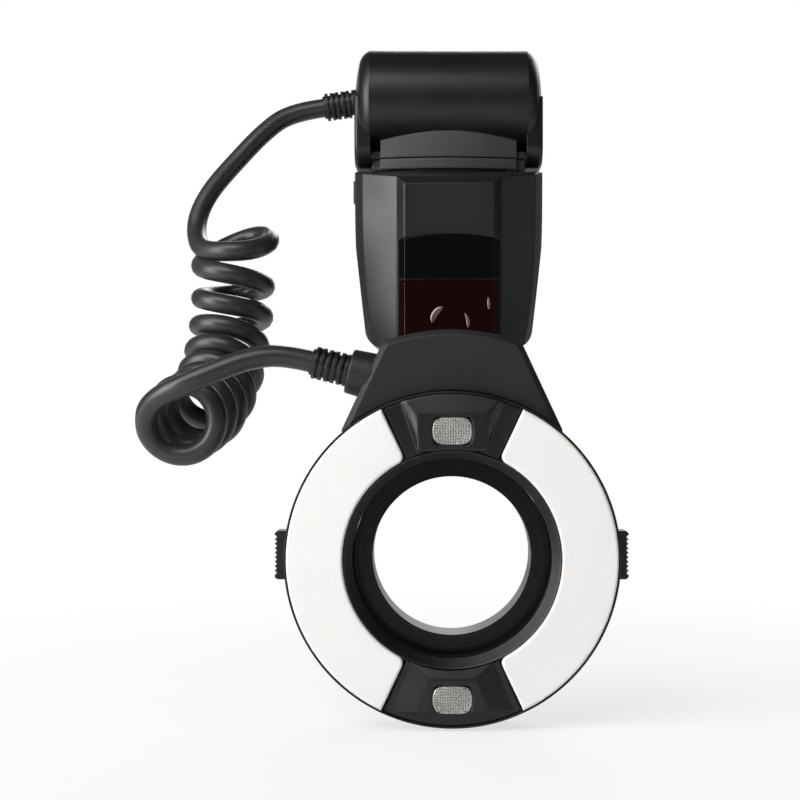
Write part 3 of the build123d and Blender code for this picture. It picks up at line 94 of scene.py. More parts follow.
# %% [markdown]
# ## The cord's route
#
# The real cord is one length of round polyurethane cable. It leaves the drum,
# falls, turns eight times round an open helix, and comes forward and up into the
# horn of the ring head. One NURBS curve is the natural way: its control points
# are the route's corners, in millimetres here. The first turn is pulled open by
# the hanging lead, and the last one opens into the lower lead, so their points
# are placed one by one. The turns between them are computed in the next cell.

# %% Cord route
cord_radius = 3.8 * mm
upper_route = [
    (-50.872, 0.0, 117.063),
    (-64.736, 0.0, 115.115),
    (-75.4, -4.2, 106.0),
    (-86.0, -9.0, 93.2),
    (-94.8, -15.0, 81.4),
    (-99.4, -20.0, 70.6),
]
first_turn = [
    (-99.2, -25.5, 61.0),
    (-94.6, -37.5, 54.6),
    (-84.5, -45.6, 53.5),
    (-74.6, -44.2, 54.2),
    (-68.9, -36.4, 57.8),
    (-70.4, -27.0, 61.6),
    (-77.0, -21.4, 62.2),
    (-86.5, -20.3, 58.8),
    (-94.6, -24.4, 53.6),
    (-97.0, -32.0, 49.4),
]
last_turn = [
    (-107.0, -85.5, -11.4),
    (-106.4, -88.5, -6.8),
    (-103.3, -92.0, -2.9),
    (-98.1, -95.5, 0.0),
]
lower_route = [
    (-48.108, -95.0, 10.593),
    (-58.199, -95.0, 13.109),
    (-69.8, -96.0, 11.6),
    (-80.6, -97.6, 7.4),
    (-90.4, -98.8, 3.2),
]
print("route points placed by hand:", len(upper_route + first_turn + last_turn + lower_route))

# %% [markdown]
# ## The coil's axis
#
# A curly cord is wound on a straight rod, and then its own weight bends it. So
# the helix is built round an axis that hangs down for a while and then bends
# forward in an arc. One function gives the axis's place at a distance from its
# top, in millimetres, and the two directions square to it.

# %% Coil axis
coil_top = Vector((-82.6, -33.5, 57.5))
coil_lean = Vector((-0.05, 0.0, -1.0))
coil_bend_heading = 80.0
coil_straight = 24.0
coil_bend_radius = 41.0
coil_bend_angle = 78.0
coil_bend_length = coil_bend_radius * math.radians(coil_bend_angle)
coil_reach = 21.5
coil_length = coil_straight + coil_bend_length + coil_reach


def coil_axis(distance):
    """Place on the coil's bent axis, with the directions left and front."""
    down = coil_lean.normalized()
    heading = math.radians(coil_bend_heading)
    ahead = Vector((-math.cos(heading), -math.sin(heading), 0))
    ahead = (ahead - down * ahead.dot(down)).normalized()
    angle = min(max(distance - coil_straight, 0), coil_bend_length) / coil_bend_radius
    place = coil_top + down * min(distance, coil_straight)
    place += down * (coil_bend_radius * math.sin(angle))
    place += ahead * (coil_bend_radius * (1 - math.cos(angle)))
    onward = down * math.cos(angle) + ahead * math.sin(angle)
    place += onward * max(distance - coil_straight - coil_bend_length, 0)
    left = (Vector((-1, 0, 0)) + down * down.x).normalized()
    left = Matrix.Rotation(angle, 3, down.cross(ahead)) @ left
    return place, left, onward.cross(left) * -1


print("coil's axis ends at", [round(c, 1) for c in coil_axis(coil_length)[0]])

# %% [markdown]
# ## The cord's helix
#
# A point of the helix is a point of the axis plus a turning arm. A NURBS of order
# three runs inside its control points, so the arm is made longer by the factor
# that brings the cord back to its true radius. The helix's first points are left
# out, because the hand-placed turn stands there.

# %% Cord helix
coil_mean_radius = 12.2
coil_start_angle = 62.0
coil_end_angle = 325.0
coil_turns = 8
points_per_turn = 16
first_turn_steps = 15


def coil_points():
    """Control points of the helix, a little outside the cord's centre line."""
    total = 360 * coil_turns + coil_end_angle - coil_start_angle
    steps = round(total / 360 * points_per_turn)
    radius = coil_mean_radius / math.cos(math.pi / points_per_turn)
    points = []
    for k in range(steps + 1):
        share = k / steps
        angle = math.radians(coil_start_angle + total * share)
        place, left, front = coil_axis(coil_length * share)
        arm = left * (radius * math.cos(angle)) + front * (radius * math.sin(angle))
        points.append(place + arm)
    return points


cord_points = [Vector(p) for p in upper_route + first_turn]
cord_points += coil_points()[first_turn_steps:]
cord_points += [Vector(p) for p in last_turn + lower_route[::-1]]
print("cord control points:", len(cord_points))

# %% [markdown]
# ## The cord's curve
#
# The curve gets its thickness from a round bevel of one metre, which each point's
# radius brings down to the cord's own. Its length is measured on the bare line,
# because that is what a real cord of this shape would be cut to.

# %% Cord curve
cord_order = 3
cord_steps = 7
cord_round_steps = 5


def make_cord(name, points, radius):
    """One open NURBS spline with a round bevel, sized by its points' radius."""
    data = bpy.data.curves.new(name, "CURVE")
    data.dimensions = "3D"
    spline = data.splines.new("NURBS")
    spline.points.add(len(points) - 1)
    for spot, place in zip(spline.points, points):
        spot.co = (place.x * mm, place.y * mm, place.z * mm, 1)
        spot.radius = radius
    spline.order_u = cord_order
    spline.use_endpoint_u = True
    data.resolution_u = cord_steps
    data.bevel_depth = 1.0
    data.bevel_resolution = cord_round_steps
    data.use_fill_caps = True
    obj = bpy.data.objects.new(name, data)
    bpy.context.scene.collection.objects.link(obj)
    return obj


def line_length(curve):
    """Length of a curve's own line, read with its bevel off."""
    depth = curve.data.bevel_depth
    curve.data.bevel_depth = 0
    bpy.context.view_layer.update()
    seen = curve.evaluated_get(bpy.context.evaluated_depsgraph_get())
    line = bpy.data.meshes.new_from_object(seen)
    curve.data.bevel_depth = depth
    ends = [[line.vertices[k].co for k in edge.vertices] for edge in line.edges]
    length = sum((start - end).length for start, end in ends)
    bpy.data.meshes.remove(line)
    return length


curly_cord = make_cord("curly_cord", cord_points, cord_radius)
print("cord length in metres:", round(line_length(curly_cord), 3))
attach(curly_cord, "flash")
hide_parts("cord_lead_upper", "cord_coil", "cord_lead_lower")

# %% [markdown]
# ## Colours and nodes
#
# Colours are written as the hex values that a paint program shows. Blender works
# in linear light, so one function turns them round. A second one adds a shader
# node with its settings and links, and a third starts a material. That is all
# the help that a node tree needs.

# %% Helpers for materials


def linear(code):
    """Linear colour of an sRGB hex value, by that standard's own curve."""
    channels = [int(code[k:k + 2], 16) / 255 for k in (1, 3, 5)]
    low = [c / 12.92 if c <= 0.04045 else ((c + 0.055) / 1.055) ** 2.4 for c in channels]
    return (*low, 1.0)


def add(tree, kind, values=None, links=None, **settings):
    """Node of a kind, with attributes, socket values and incoming links."""
    node = tree.nodes.new(kind)
    for key, value in settings.items():
        setattr(node, key, value)
    for key, value in (values or {}).items():
        node.inputs[key].default_value = value
    for key, socket in (links or {}).items():
        tree.links.new(socket, node.inputs[key])
    return node


def new_material(name):
    """Empty node material: its tree, its shader and the object's coordinates."""
    material = bpy.data.materials.new(name)
    material.use_nodes = True
    tree = material.node_tree
    tree.nodes.clear()
    shader = add(tree, "ShaderNodeBsdfPrincipled")
    add(tree, "ShaderNodeOutputMaterial", links={"Surface": shader.outputs["BSDF"]})
    place = add(tree, "ShaderNodeTexCoord").outputs["Object"]
    return material, tree, shader, place


print("the body's grey in linear light:", [round(c, 4) for c in linear("#161717")])

# %% [markdown]
# ## Moulded plastic
#
# The housings are ABS, injection moulded in etched tools, so the surface has a
# fine even grain that spreads highlights. A noise texture sized in millimetres
# gives the grain as bump, and a second, much larger noise changes the roughness
# a little, as handling does. A noise seldom leaves its middle values, so these
# are stretched over the whole change. The same recipe with other numbers serves
# every moulding, and a Bevel node rounds the light on edges that CAD left sharp.

# %% Recipe for moulded plastic
plastic_ior = 1.5
grain_strength = 0.6
handling_mm = 22.0
handling_change = 0.06
noise_low, noise_high = 0.3, 0.7
bevel_samples = 6


def moulded(name, dark, light, roughness, grain_mm, depth_mm, edge_mm=0.4):
    """Moulded plastic or rubber: grained, slightly uneven in gloss and colour."""
    material, tree, shader, place = new_material(name)
    grain = add(tree, "ShaderNodeTexNoise", {"Scale": 1 / (grain_mm * mm), "Detail": 2.0},
                {"Vector": place})
    patches = add(tree, "ShaderNodeTexNoise", {"Scale": 1 / (handling_mm * mm), "Detail": 3.0},
                  {"Vector": place})
    tint = add(tree, "ShaderNodeMix", {"A": linear(dark), "B": linear(light)},
               {"Factor": patches.outputs["Fac"]}, data_type="RGBA")
    gloss = add(tree, "ShaderNodeMapRange",
                {"From Min": noise_low, "From Max": noise_high,
                 "To Min": roughness - handling_change, "To Max": roughness + handling_change},
                {"Value": patches.outputs["Fac"]})
    bump = add(tree, "ShaderNodeBump", {"Strength": grain_strength, "Distance": depth_mm * mm},
               {"Height": grain.outputs["Fac"]})
    if edge_mm:
        edge = add(tree, "ShaderNodeBevel", {"Radius": edge_mm * mm}, samples=bevel_samples)
        tree.links.new(edge.outputs["Normal"], bump.inputs["Normal"])
    shader.inputs["IOR"].default_value = plastic_ior
    tree.links.new(tint.outputs["Result"], shader.inputs["Base Color"])
    tree.links.new(gloss.outputs["Result"], shader.inputs["Roughness"])
    tree.links.new(bump.outputs["Normal"], shader.inputs["Normal"])
    return material


print("handling marks about", handling_mm, "mm across, gloss up and down by", handling_change)

# %% [markdown]
# ## Housings
#
# The case, the neck, the drum and the ring head are all ABS, but each tool was
# etched to its own depth and each batch dyed to its own grey. So the pieces
# differ in grain, gloss and tone, and the deeper the grain, the duller the piece.
# Only the neck's light grey is painted light rather than dye: it stands in for
# the light that its rounded front catches.

# %% Housings
# ABS from an etched tool: near black, and the grain blurs each lamp to a soft band.
body_abs = moulded("moulded_abs_body", "#161717", "#1b1c1c", roughness=0.41,
                   grain_mm=0.35, depth_mm=0.03, edge_mm=1.0)
# The same ABS made a lighter grey as painted light: it stands in for the light on
# the neck's rounded front, so the neck reads as a lighter step between drum and body.
lightened_neck_abs = moulded("moulded_abs_neck_painted_light", "#3a3a39", "#40403f", roughness=0.46,
                   grain_mm=0.35, depth_mm=0.03, edge_mm=1.0)
# ABS from a smoother tool: the drum is the blackest piece, with one long highlight.
drum_abs = moulded("moulded_abs_drum", "#0c0c0d", "#111112", roughness=0.37,
                   grain_mm=0.35, depth_mm=0.02)
# Black ABS with hardly any grain, on which thin rims and ribs catch the light.
ring_abs = moulded("moulded_abs_ring", "#0f0f10", "#141415", roughness=0.4,
                   grain_mm=0.35, depth_mm=0.02)
# Half-gloss ABS: flat faces stay black and the wide rounded edges glint.
spacer_abs = moulded("moulded_abs_spacer", "#131314", "#19191a", roughness=0.33,
                     grain_mm=0.3, depth_mm=0.02, edge_mm=1.3)
# ABS from a deeply etched tool: matt, with a grain that the eye can see.
hood_abs = moulded("etched_abs_hood", "#171718", "#1f1f20", roughness=0.5,
                   grain_mm=0.7, depth_mm=0.09, edge_mm=0.8)
# Plain ABS inside the case, matt because nobody polished its tool.
inner_abs = moulded("moulded_abs_inner", "#1b1b1b", "#232323", roughness=0.6,
                    grain_mm=0.5, depth_mm=0.03)
print("housing materials:", len(bpy.data.materials))

# %% [markdown]
# ## Rubber and cable
#
# Keys, strain reliefs and the cord are soft plastics. They have a skin instead of
# an etched grain, so only their gloss and tone tell them from the housings: the
# keys are the dullest and the cord shines most.

# %% Rubber and cable
# Silicone rubber: dull and soft, a little lighter than the case round it.
key_rubber = moulded("silicone_rubber_keys", "#242425", "#2b2b2c", roughness=0.6,
                     grain_mm=0.3, depth_mm=0.01)
# Soft moulded PVC: an even sheen that shows the ribs of the strain reliefs.
relief_rubber = moulded("pvc_strain_relief", "#141414", "#1a1a1b", roughness=0.42,
                        grain_mm=0.5, depth_mm=0.02)
# Extruded polyurethane: smooth, with a long highlight on every turn. The ripple
# of the extruder is too fine to show, so it is drawn coarser than it is.
cord_sheath = moulded("polyurethane_cord_sheath", "#29292a", "#303031", roughness=0.36,
                      grain_mm=2.5, depth_mm=0.004, edge_mm=0)
print("materials so far:", len(bpy.data.materials))

# %% [markdown]
# ## Opal acrylic
#
# The two flash windows are opal acrylic: white pigment in a clear plastic, so
# light goes a little way in and the edges look soft. Subsurface scattering with a
# reach of two millimetres gives that depth, and a fine frost keeps glare away.

# %% Opal acrylic
acrylic_ior = 1.49
cloud_mm = 30.0
frost_mm = 0.4
frost_depth_mm = 0.02
pigment_share = 0.25
light_reach_mm = 2.0


def opal_acrylic(name, dark, light, roughness):
    """Opal acrylic with light inside and a faint cool shade in patches."""
    material, tree, shader, place = new_material(name)
    cloud = add(tree, "ShaderNodeTexNoise", {"Scale": 1 / (cloud_mm * mm), "Detail": 1.0},
                {"Vector": place})
    tint = add(tree, "ShaderNodeMix", {"A": linear(dark), "B": linear(light)},
               {"Factor": cloud.outputs["Fac"]}, data_type="RGBA")
    frost = add(tree, "ShaderNodeTexNoise", {"Scale": 1 / (frost_mm * mm), "Detail": 2.0},
                {"Vector": place})
    bump = add(tree, "ShaderNodeBump", {"Strength": 0.3, "Distance": frost_depth_mm * mm},
               {"Height": frost.outputs["Fac"]})
    shader.inputs["Roughness"].default_value = roughness
    shader.inputs["IOR"].default_value = acrylic_ior
    shader.inputs["Subsurface Weight"].default_value = pigment_share
    shader.inputs["Subsurface Scale"].default_value = light_reach_mm * mm
    tree.links.new(tint.outputs["Result"], shader.inputs["Base Color"])
    tree.links.new(bump.outputs["Normal"], shader.inputs["Normal"])
    return material


# Cast opal acrylic with a frosted face: white, evenly bright and without glare.
opal = opal_acrylic("opal_acrylic", "#f6f6f7", "#fbf9f6", roughness=0.38)
print("opal acrylic, light reach in mm:", light_reach_mm)

# %% [markdown]
# ## Clear and coloured acrylic
#
# The display cover is clear acrylic. The two front windows of the controller are
# black acrylic that lets only infrared through, and a deep red one through which
# the lamp bowls show faintly; their brighter glints are painted, as pale pink arcs
# on its face. They are polished, so they get no grain, only the slow change of
# gloss that fingers and cloths leave.

# %% Clear and coloured acrylic
smear_mm = 9.0
smear_change = 0.05
polished_edge_mm = 0.3


def tinted_acrylic(name, code, transmission, roughness):
    """Polished acrylic of one colour, see-through by a share."""
    material, tree, shader, place = new_material(name)
    smear = add(tree, "ShaderNodeTexNoise", {"Scale": 1 / (smear_mm * mm), "Detail": 3.0},
                {"Vector": place})
    gloss = add(tree, "ShaderNodeMapRange",
                {"From Min": noise_low, "From Max": noise_high,
                 "To Min": roughness, "To Max": roughness + smear_change},
                {"Value": smear.outputs["Fac"]})
    edge = add(tree, "ShaderNodeBevel", {"Radius": polished_edge_mm * mm}, samples=bevel_samples)
    shader.inputs["Base Color"].default_value = linear(code)
    shader.inputs["IOR"].default_value = acrylic_ior
    shader.inputs["Transmission Weight"].default_value = transmission
    tree.links.new(gloss.outputs["Result"], shader.inputs["Roughness"])
    tree.links.new(edge.outputs["Normal"], shader.inputs["Normal"])
    return material


# Polished clear acrylic: only its gloss is seen. The flash tubes share it.
clear_acrylic = tinted_acrylic("clear_acrylic", "#f4f6f8", transmission=1.0, roughness=0.03)
# Polished black acrylic: a black mirror, the darkest and sharpest face of the front.
black_acrylic = tinted_acrylic("black_acrylic", "#050506", transmission=0.0, roughness=0.05)
# Polished red acrylic, dyed so deep that it looks black with a red glow.
red_acrylic = tinted_acrylic("deep_red_acrylic", "#260103", transmission=0.6, roughness=0.06)
# Cast epoxy, the warm and cloudy dome of a small lamp.
lamp_dome = tinted_acrylic("warm_lamp_dome", "#f3e6b0", transmission=0.2, roughness=0.1)
print("materials so far:", len(bpy.data.materials))

# %% [markdown]
# ## Metal
#
# A metal shows how its surface was made: turned pieces keep the circular lines of
# the lathe, and all others have a fine unevenness. Lathe lines are too fine to
# show at their real spacing, so they are drawn coarser. A Wave texture of scale
# one has a ring every 0.314 units, so with a wave of 5 mm the rings lie 1.6 mm
# apart. The Mapping node puts their middle on the ring's axis.

# %% Recipe for metal
metal_grain_mm = 0.5
metal_relief_mm = 0.01
metal_polish, metal_wear = 0.04, 0.08


def metal(name, code, roughness, metallic=1.0, wave_mm=0.0):
    """Metal with fine noise, or with turned lines round the ring's axis."""
    material, tree, shader, place = new_material(name)
    if wave_mm:
        centred = add(tree, "ShaderNodeMapping", {"Location": (0, 0, -ring_level * mm)},
                      {"Vector": place})
        marks = add(tree, "ShaderNodeTexWave", {"Scale": 1 / (wave_mm * mm), "Distortion": 0.5},
                    {"Vector": centred.outputs["Vector"]}, wave_type="RINGS", rings_direction="Y")
    else:
        marks = add(tree, "ShaderNodeTexNoise", {"Scale": 1 / (metal_grain_mm * mm), "Detail": 3.0},
                    {"Vector": place})
    gloss = add(tree, "ShaderNodeMapRange",
                {"To Min": roughness - metal_polish, "To Max": roughness + metal_wear},
                {"Value": marks.outputs["Fac"]})
    bump = add(tree, "ShaderNodeBump", {"Strength": 0.25, "Distance": metal_relief_mm * mm},
               {"Height": marks.outputs["Fac"]})
    shader.inputs["Base Color"].default_value = linear(code)
    shader.inputs["Metallic"].default_value = metallic
    tree.links.new(gloss.outputs["Result"], shader.inputs["Roughness"])
    tree.links.new(bump.outputs["Normal"], shader.inputs["Normal"])
    return material


print("metal grain in mm:", metal_grain_mm)

# %% [markdown]
# ## Metals of the flash
#
# Screws and pins are plated steel, the reflectors are vacuum metallised plastic,
# the adapter ring and the foot are black anodised aluminium, and the trigger coil
# is wound from copper wire. Colour and roughness are each metal's own; where a
# film lies over it, it is a little less metallic.

# %% Metals
# Turned and black anodised aluminium: satin black with fine circular lines.
anodised_ring = metal("black_anodised_ring", "#1a1a1b", roughness=0.3, metallic=0.6, wave_mm=5.0)
# Milled and black anodised aluminium: an even satin grey where it is handled.
anodised_foot = metal("black_anodised_foot", "#2a2a2b", roughness=0.38, metallic=0.7)
# Nickel plated steel: small bright points, a little warmer than chrome.
plated_steel = metal("nickel_plated_steel", "#b8b6b0", roughness=0.25)
# Black oxide on steel: a dull film, hardly brighter than the plastic beside it.
blackened_steel = metal("black_oxide_steel", "#1c1c1d", roughness=0.42, metallic=0.8)
# Gold plate on the contacts: warm and sharp.
gold_plate = metal("gold_plated_contact", "#d9b25f", roughness=0.22)
# Aluminium evaporated on plastic: a mirror for the flash tubes.
mirror_plate = metal("metallised_reflector", "#e6e6e4", roughness=0.12)
# The same film over small pyramids, each of which shows another part of the room.
prism_silver = metal("metallised_prism_plate", "#bcbcb8", roughness=0.24, metallic=0.6)
# Painted glints: a pale pink metal on the red window's face, whose pink stands in
# for the red cover over the real rims.
painted_glint_metal = metal("painted_glint_pink_metal", "#a98e8e", roughness=0.35)
# Copper wire with baked enamel: warm brown, ringed by its turns.
copper_wire = metal("enamelled_copper_wire", "#8a4a24", roughness=0.35, wave_mm=6.0)
print("materials so far:", len(bpy.data.materials))

# %% [markdown]
# ## Inks, sleeves and boards
#
# Printed marks, the display and the cells, boards and capacitor inside the case
# are films over something else. What the eye gets from each is a colour, a gloss
# and a slight unevenness, and the recipe for moulded plastic gives just that. The
# inner ones show only with the battery door open or the case taken apart.

# %% Films
# Pad printed ink: flat, matt and light grey, with no edge to speak of.
legend_ink = moulded("pad_printed_ink", "#c9cac8", "#d2d3d1", roughness=0.5,
                     grain_mm=0.3, depth_mm=0.004, edge_mm=0)
# Liquid crystal that is switched on: flat and almost black.
segment_ink = moulded("liquid_crystal_segment", "#0c0f0c", "#101310", roughness=0.5,
                      grain_mm=0.5, depth_mm=0.002, edge_mm=0)
# The reflecting film behind a liquid crystal: grey green, with a slow drift.
display_film = moulded("display_module", "#8d987f", "#95a086", roughness=0.4,
                       grain_mm=4.0, depth_mm=0.01)
# Printed film shrunk on a cell: slate blue, glossy, slightly wavy.
cell_sleeve = moulded("printed_cell_sleeve", "#3c4a55", "#44525e", roughness=0.3,
                      grain_mm=3.0, depth_mm=0.01)
# Heat-shrunk PVC: blue black and glossier.
capacitor_sleeve = moulded("shrink_sleeve", "#14161f", "#1a1d29", roughness=0.28,
                           grain_mm=2.0, depth_mm=0.01)
# Lacquer over copper tracks: deep green, with the tracks as a low relief.
solder_mask = moulded("green_solder_mask", "#123f2a", "#184b33", roughness=0.35,
                      grain_mm=1.2, depth_mm=0.02)
print("all materials:", len(bpy.data.materials))

# %% [markdown]
# ## Dressing the CAD nodes
#
# A CAD node whose shape is right keeps it and takes a material. The faces of a
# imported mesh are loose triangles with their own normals, so the surface is
# already smooth where it should be.

# %% Assign materials
finishes = {
    body_abs: ["body_front_shell", "body_rear_shell", "battery_door"],
    lightened_neck_abs: ["neck_upper", "neck_lower"],
    drum_abs: ["drum_front_shell", "drum_rear_shell"],
    ring_abs: ["ring_rear_housing", "ring_front_frame",
               "release_button_left", "release_button_right"],
    spacer_abs: ["top_spacer", "bottom_spacer"],
    hood_abs: ["hood_front_cover", "cable_horn"],
    key_rubber: ["ok_key", "test_button", "power_switch"] + [n for n in nodes if "key_" in n],
    relief_rubber: ["strain_relief_drum", "strain_relief_ring"],
    opal: ["left_diffuser", "right_diffuser"],
    clear_acrylic: ["lcd_window", "flash_tubes"],
    black_acrylic: ["sensor_window"],
    red_acrylic: ["assist_window"],
    anodised_ring: ["adapter_ring"],
    anodised_foot: ["lock_wheel", "shoe_foot"],
    plated_steel: ["release_springs_left", "release_springs_right", "case_screws",
                   "lock_pin", "battery_contacts", "battery_door_contacts"],
    blackened_steel: ["battery_door_pin"],
    gold_plate: ["contact_pins"],
    mirror_plate: ["flash_reflectors", "assist_lamp_reflectors"],
    copper_wire: ["trigger_coil"],
    cell_sleeve: ["aa_cells"],
    capacitor_sleeve: ["flash_capacitor"],
    solder_mask: ["ring_circuit_board", "controller_boards"],
    lamp_dome: ["lamp_leds"],
    display_film: ["lcd_panel"],
    inner_abs: ["cord_anchor", "battery_tray"],
}
for material, names in finishes.items():
    for name in names:
        mesh = nodes[name].data
        mesh.materials.clear()
        mesh.materials.append(material)
curly_cord.data.materials.append(cord_sheath)
dressed = {name for names in finishes.values() for name in names}
print("nodes that a new piece replaces:", sorted(set(nodes) - dressed))

# %% [markdown]
# ## Working on new pieces
#
# An operator acts on all that is selected, so one piece is always selected alone
# first. A finished piece has its place, turn and scale in its mesh, as a CAD
# node has, and then takes its smooth shading, its material and the body that it
# moves with.

# %% Helpers for pieces


def nothing_selected():
    """Deselects every object."""
    bpy.ops.object.select_all(action="DESELECT")


def only(obj):
    """This object alone is selected and active."""
    nothing_selected()
    obj.select_set(True)
    bpy.context.view_layer.objects.active = obj


def edit(obj):
    """Edit mode on this object, with all its faces selected."""
    only(obj)
    bpy.ops.object.mode_set(mode="EDIT")
    bpy.ops.mesh.select_mode(type="FACE")
    bpy.ops.mesh.select_all(action="SELECT")


def leave_edit():
    """Back to object mode."""
    bpy.ops.object.mode_set(mode="OBJECT")


def apply_place(obj):
    """Place, turn and scale go into the mesh."""
    only(obj)
    bpy.ops.object.transform_apply(location=True, rotation=True, scale=True)


def dress(obj, material, body, smooth):
    """Applies a new piece's place and smooth shading, and gives it its material and body."""
    apply_place(obj)
    bpy.ops.object.shade_smooth_by_angle(angle=math.radians(smooth))
    obj.data.materials.clear()
    obj.data.materials.append(material)
    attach(obj, body)
    return obj


facet_angle = 5.0
print("edges sharper than", facet_angle, "degrees stay sharp on flat-faced pieces")

# %% [markdown]
# ## Prisms of the lamp windows
#
# Each modelling lamp sits behind a small window moulded as a grid of little
# pyramids over a bright tray, which throws the light forward. Clear prisms in
# front of a tray flash like small mirrors, and a renderer needs very many samples
# for that. So the window is one plate of metallised pyramids: a grid is added,
# its points are moved to the window's barrel outline, and its faces are inset
# one by one and pushed out. The plate stands where the CAD lens is.

# %% Lamp windows
lamp_half_width = 6.6 * mm
lamp_half_height = 4.5 * mm
lamp_side_bow = 1.1 * mm
corner_pull = 0.1
corner_sharpness = 4
prism_columns, prism_rows = 15, 10
prism_rise = 0.34 * mm
prism_inset = 0.36 * mm
plate_thick = 2.0 * mm
plate_front = -111.35 * mm
lamp_levels = {"lamp_prisms_top": ring_level + 43.1, "lamp_prisms_bottom": ring_level - 46.4}


def barrel(mesh):
    """Moves a square grid's points so that its outline bulges left and right."""
    for vertex in mesh.vertices:
        u, v = vertex.co.x, vertex.co.y
        pull = 1 - corner_pull * (u * v) ** corner_sharpness
        vertex.co.x = u * pull * (lamp_half_width - lamp_side_bow * v * v)
        vertex.co.y = v * pull * lamp_half_height


def prism_plate(name, level):
    """Plate of metallised pyramids in a lamp window, at a height in millimetres."""
    nothing_selected()
    bpy.ops.mesh.primitive_grid_add(x_subdivisions=prism_columns, y_subdivisions=prism_rows,
                                    size=2.0)
    plate = bpy.context.object
    plate.name = name
    barrel(plate.data)
    edit(plate)
    bpy.ops.mesh.extrude_region_move(TRANSFORM_OT_translate={"value": (0, 0, plate_thick)})
    bpy.ops.mesh.inset(thickness=prism_inset, depth=prism_rise, use_individual=True)
    bpy.ops.mesh.select_all(action="SELECT")
    bpy.ops.mesh.normals_make_consistent(inside=False)
    leave_edit()
    plate.rotation_euler = (math.radians(90), 0, 0)
    plate.location = (0, plate_front + plate_thick, level * mm)
    return dress(plate, prism_silver, "flash", facet_angle)


for name, level in lamp_levels.items():
    plate = prism_plate(name, level)
    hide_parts("lamp_lenses")
    print(name, "faces:", len(plate.data.polygons))

# %% [markdown]
# ## Lamp rims in the red window
#
# In the red window the rims of the round assist lamps catch the side light as
# pale crescents. These crescents are painted glints: pale pink metal arcs set only
# where the glints fall, whose pink stands in for the red cover in front of the real
# rims. Each is a part of a flattened ring: a torus is added, cut by two planes so
# that only the wanted arc is left, and pressed into the window's face. Its points
# are then drawn in towards both ends, so that it thins out there.

# %% Lamp rims
window_face = -34.0 * mm
rim_flat_share = 0.25
rim_taper_power = 0.6
rim_thinnest_share = 0.05
rim_smooth_angle = 60.0


def rim_arc(name, x, z, radius, thick, start, end):
    """Painted glint: arc of a lamp's rim on the red window's face, from one angle to another in
    degrees.
    """
    nothing_selected()
    bpy.ops.mesh.primitive_torus_add(major_radius=radius * mm, minor_radius=thick * mm,
                                     major_segments=96, minor_segments=16)
    arc = bpy.context.object
    arc.name = name
    edit(arc)
    for angle, side in ((start, 1), (end, -1)):
        turn = math.radians(angle)
        cut = (-side * math.sin(turn), side * math.cos(turn), 0)
        bpy.ops.mesh.select_all(action="SELECT")
        bpy.ops.mesh.bisect(plane_co=(0, 0, 0), plane_no=cut, clear_inner=True, use_fill=True)
    leave_edit()
    middle_angle = math.radians((start + end) / 2)
    half_span = math.radians(end - start) / 2
    for vertex in arc.data.vertices:
        angle = math.atan2(vertex.co.y, vertex.co.x) - middle_angle
        angle = (angle + math.pi) % (2 * math.pi) - math.pi
        spine = Vector((vertex.co.x, vertex.co.y, 0)).normalized() * radius * mm
        taper = math.cos(min(abs(angle) / half_span, 1.0) * math.pi / 2) ** rim_taper_power
        vertex.co = spine + (vertex.co - spine) * max(taper, rim_thinnest_share)
        vertex.co.z *= rim_flat_share
    arc.rotation_euler = (math.radians(90), 0, 0)
    arc.location = (x * mm, window_face, z * mm)
    return dress(arc, painted_glint_metal, "flash", rim_smooth_angle)


# Painted glints: each arc stands only where a lamp rim catches the side light.
rims = [
    rim_arc("lamp_rim_left", x=0.3, z=26.9, radius=7.0, thick=1.15, start=112, end=178),
    rim_arc("lamp_rim_right", x=0.3, z=26.9, radius=7.0, thick=0.6, start=-14, end=36),
    rim_arc("lamp_rim_small", x=1.3, z=34.6, radius=14.0, thick=0.55, start=-9, end=10),
]
print("lamp rims:", len(rims))

# %% [markdown]
# ## Arrows on the pad keys
#
# Each pad key carries a small arrow that points away from the middle. On the real
# device it is pad printed, a film of ink too thin to measure. Here it is a plate
# a tenth of a millimetre thick, so that it also stays in the exported mesh, made
# from a three-sided cylinder. Left and right in the names are those of the frame,
# seen from the front, so they are the other way round from behind.

# %% Arrow marks
ink_thick = 0.1 * mm
arrow_radius = 1.05 * mm
arrow_stretch = (1.15, 0.9, 1.0)
behaviour_bodies = frame["record"]["behaviour"]["bodies"]
node_bodies = {node: body for body, names in behaviour_bodies.items() for node in names}


def face_middle(node):
    """Middle of a node's back face."""
    low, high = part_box(node)
    return Vector(((low[0] + high[0]) / 2, high[1], (low[2] + high[2]) / 2))


def arrow_mark(direction):
    """Printed triangle on one pad key that points away from the middle key."""
    nothing_selected()
    bpy.ops.mesh.primitive_cylinder_add(vertices=3, radius=arrow_radius, depth=ink_thick)
    arrow = bpy.context.object
    arrow.name = "arrow_mark_" + direction
    edit(arrow)
    bpy.ops.transform.resize(value=arrow_stretch)
    leave_edit()
    key = "pad_key_" + direction
    away = face_middle(key) - face_middle("ok_key")
    arrow.rotation_euler = (math.radians(90), math.atan2(away.x, away.z), 0)
    arrow.location = face_middle(key) + Vector((0, ink_thick / 2, 0))
    return dress(arrow, legend_ink, node_bodies[key], facet_angle)


arrows = [arrow_mark(direction) for direction in ("up", "down", "left", "right")]
print("arrows:", len(arrows))

# %% [markdown]
# ## Words by the keys
#
# The middle key says OK, and the switch has its two places marked ON and OFF on
# the shell. A text object is the quickest way to letters: it is extruded to the
# ink's thickness and made a mesh, and then stands upright as seen from behind.

# %% Word marks


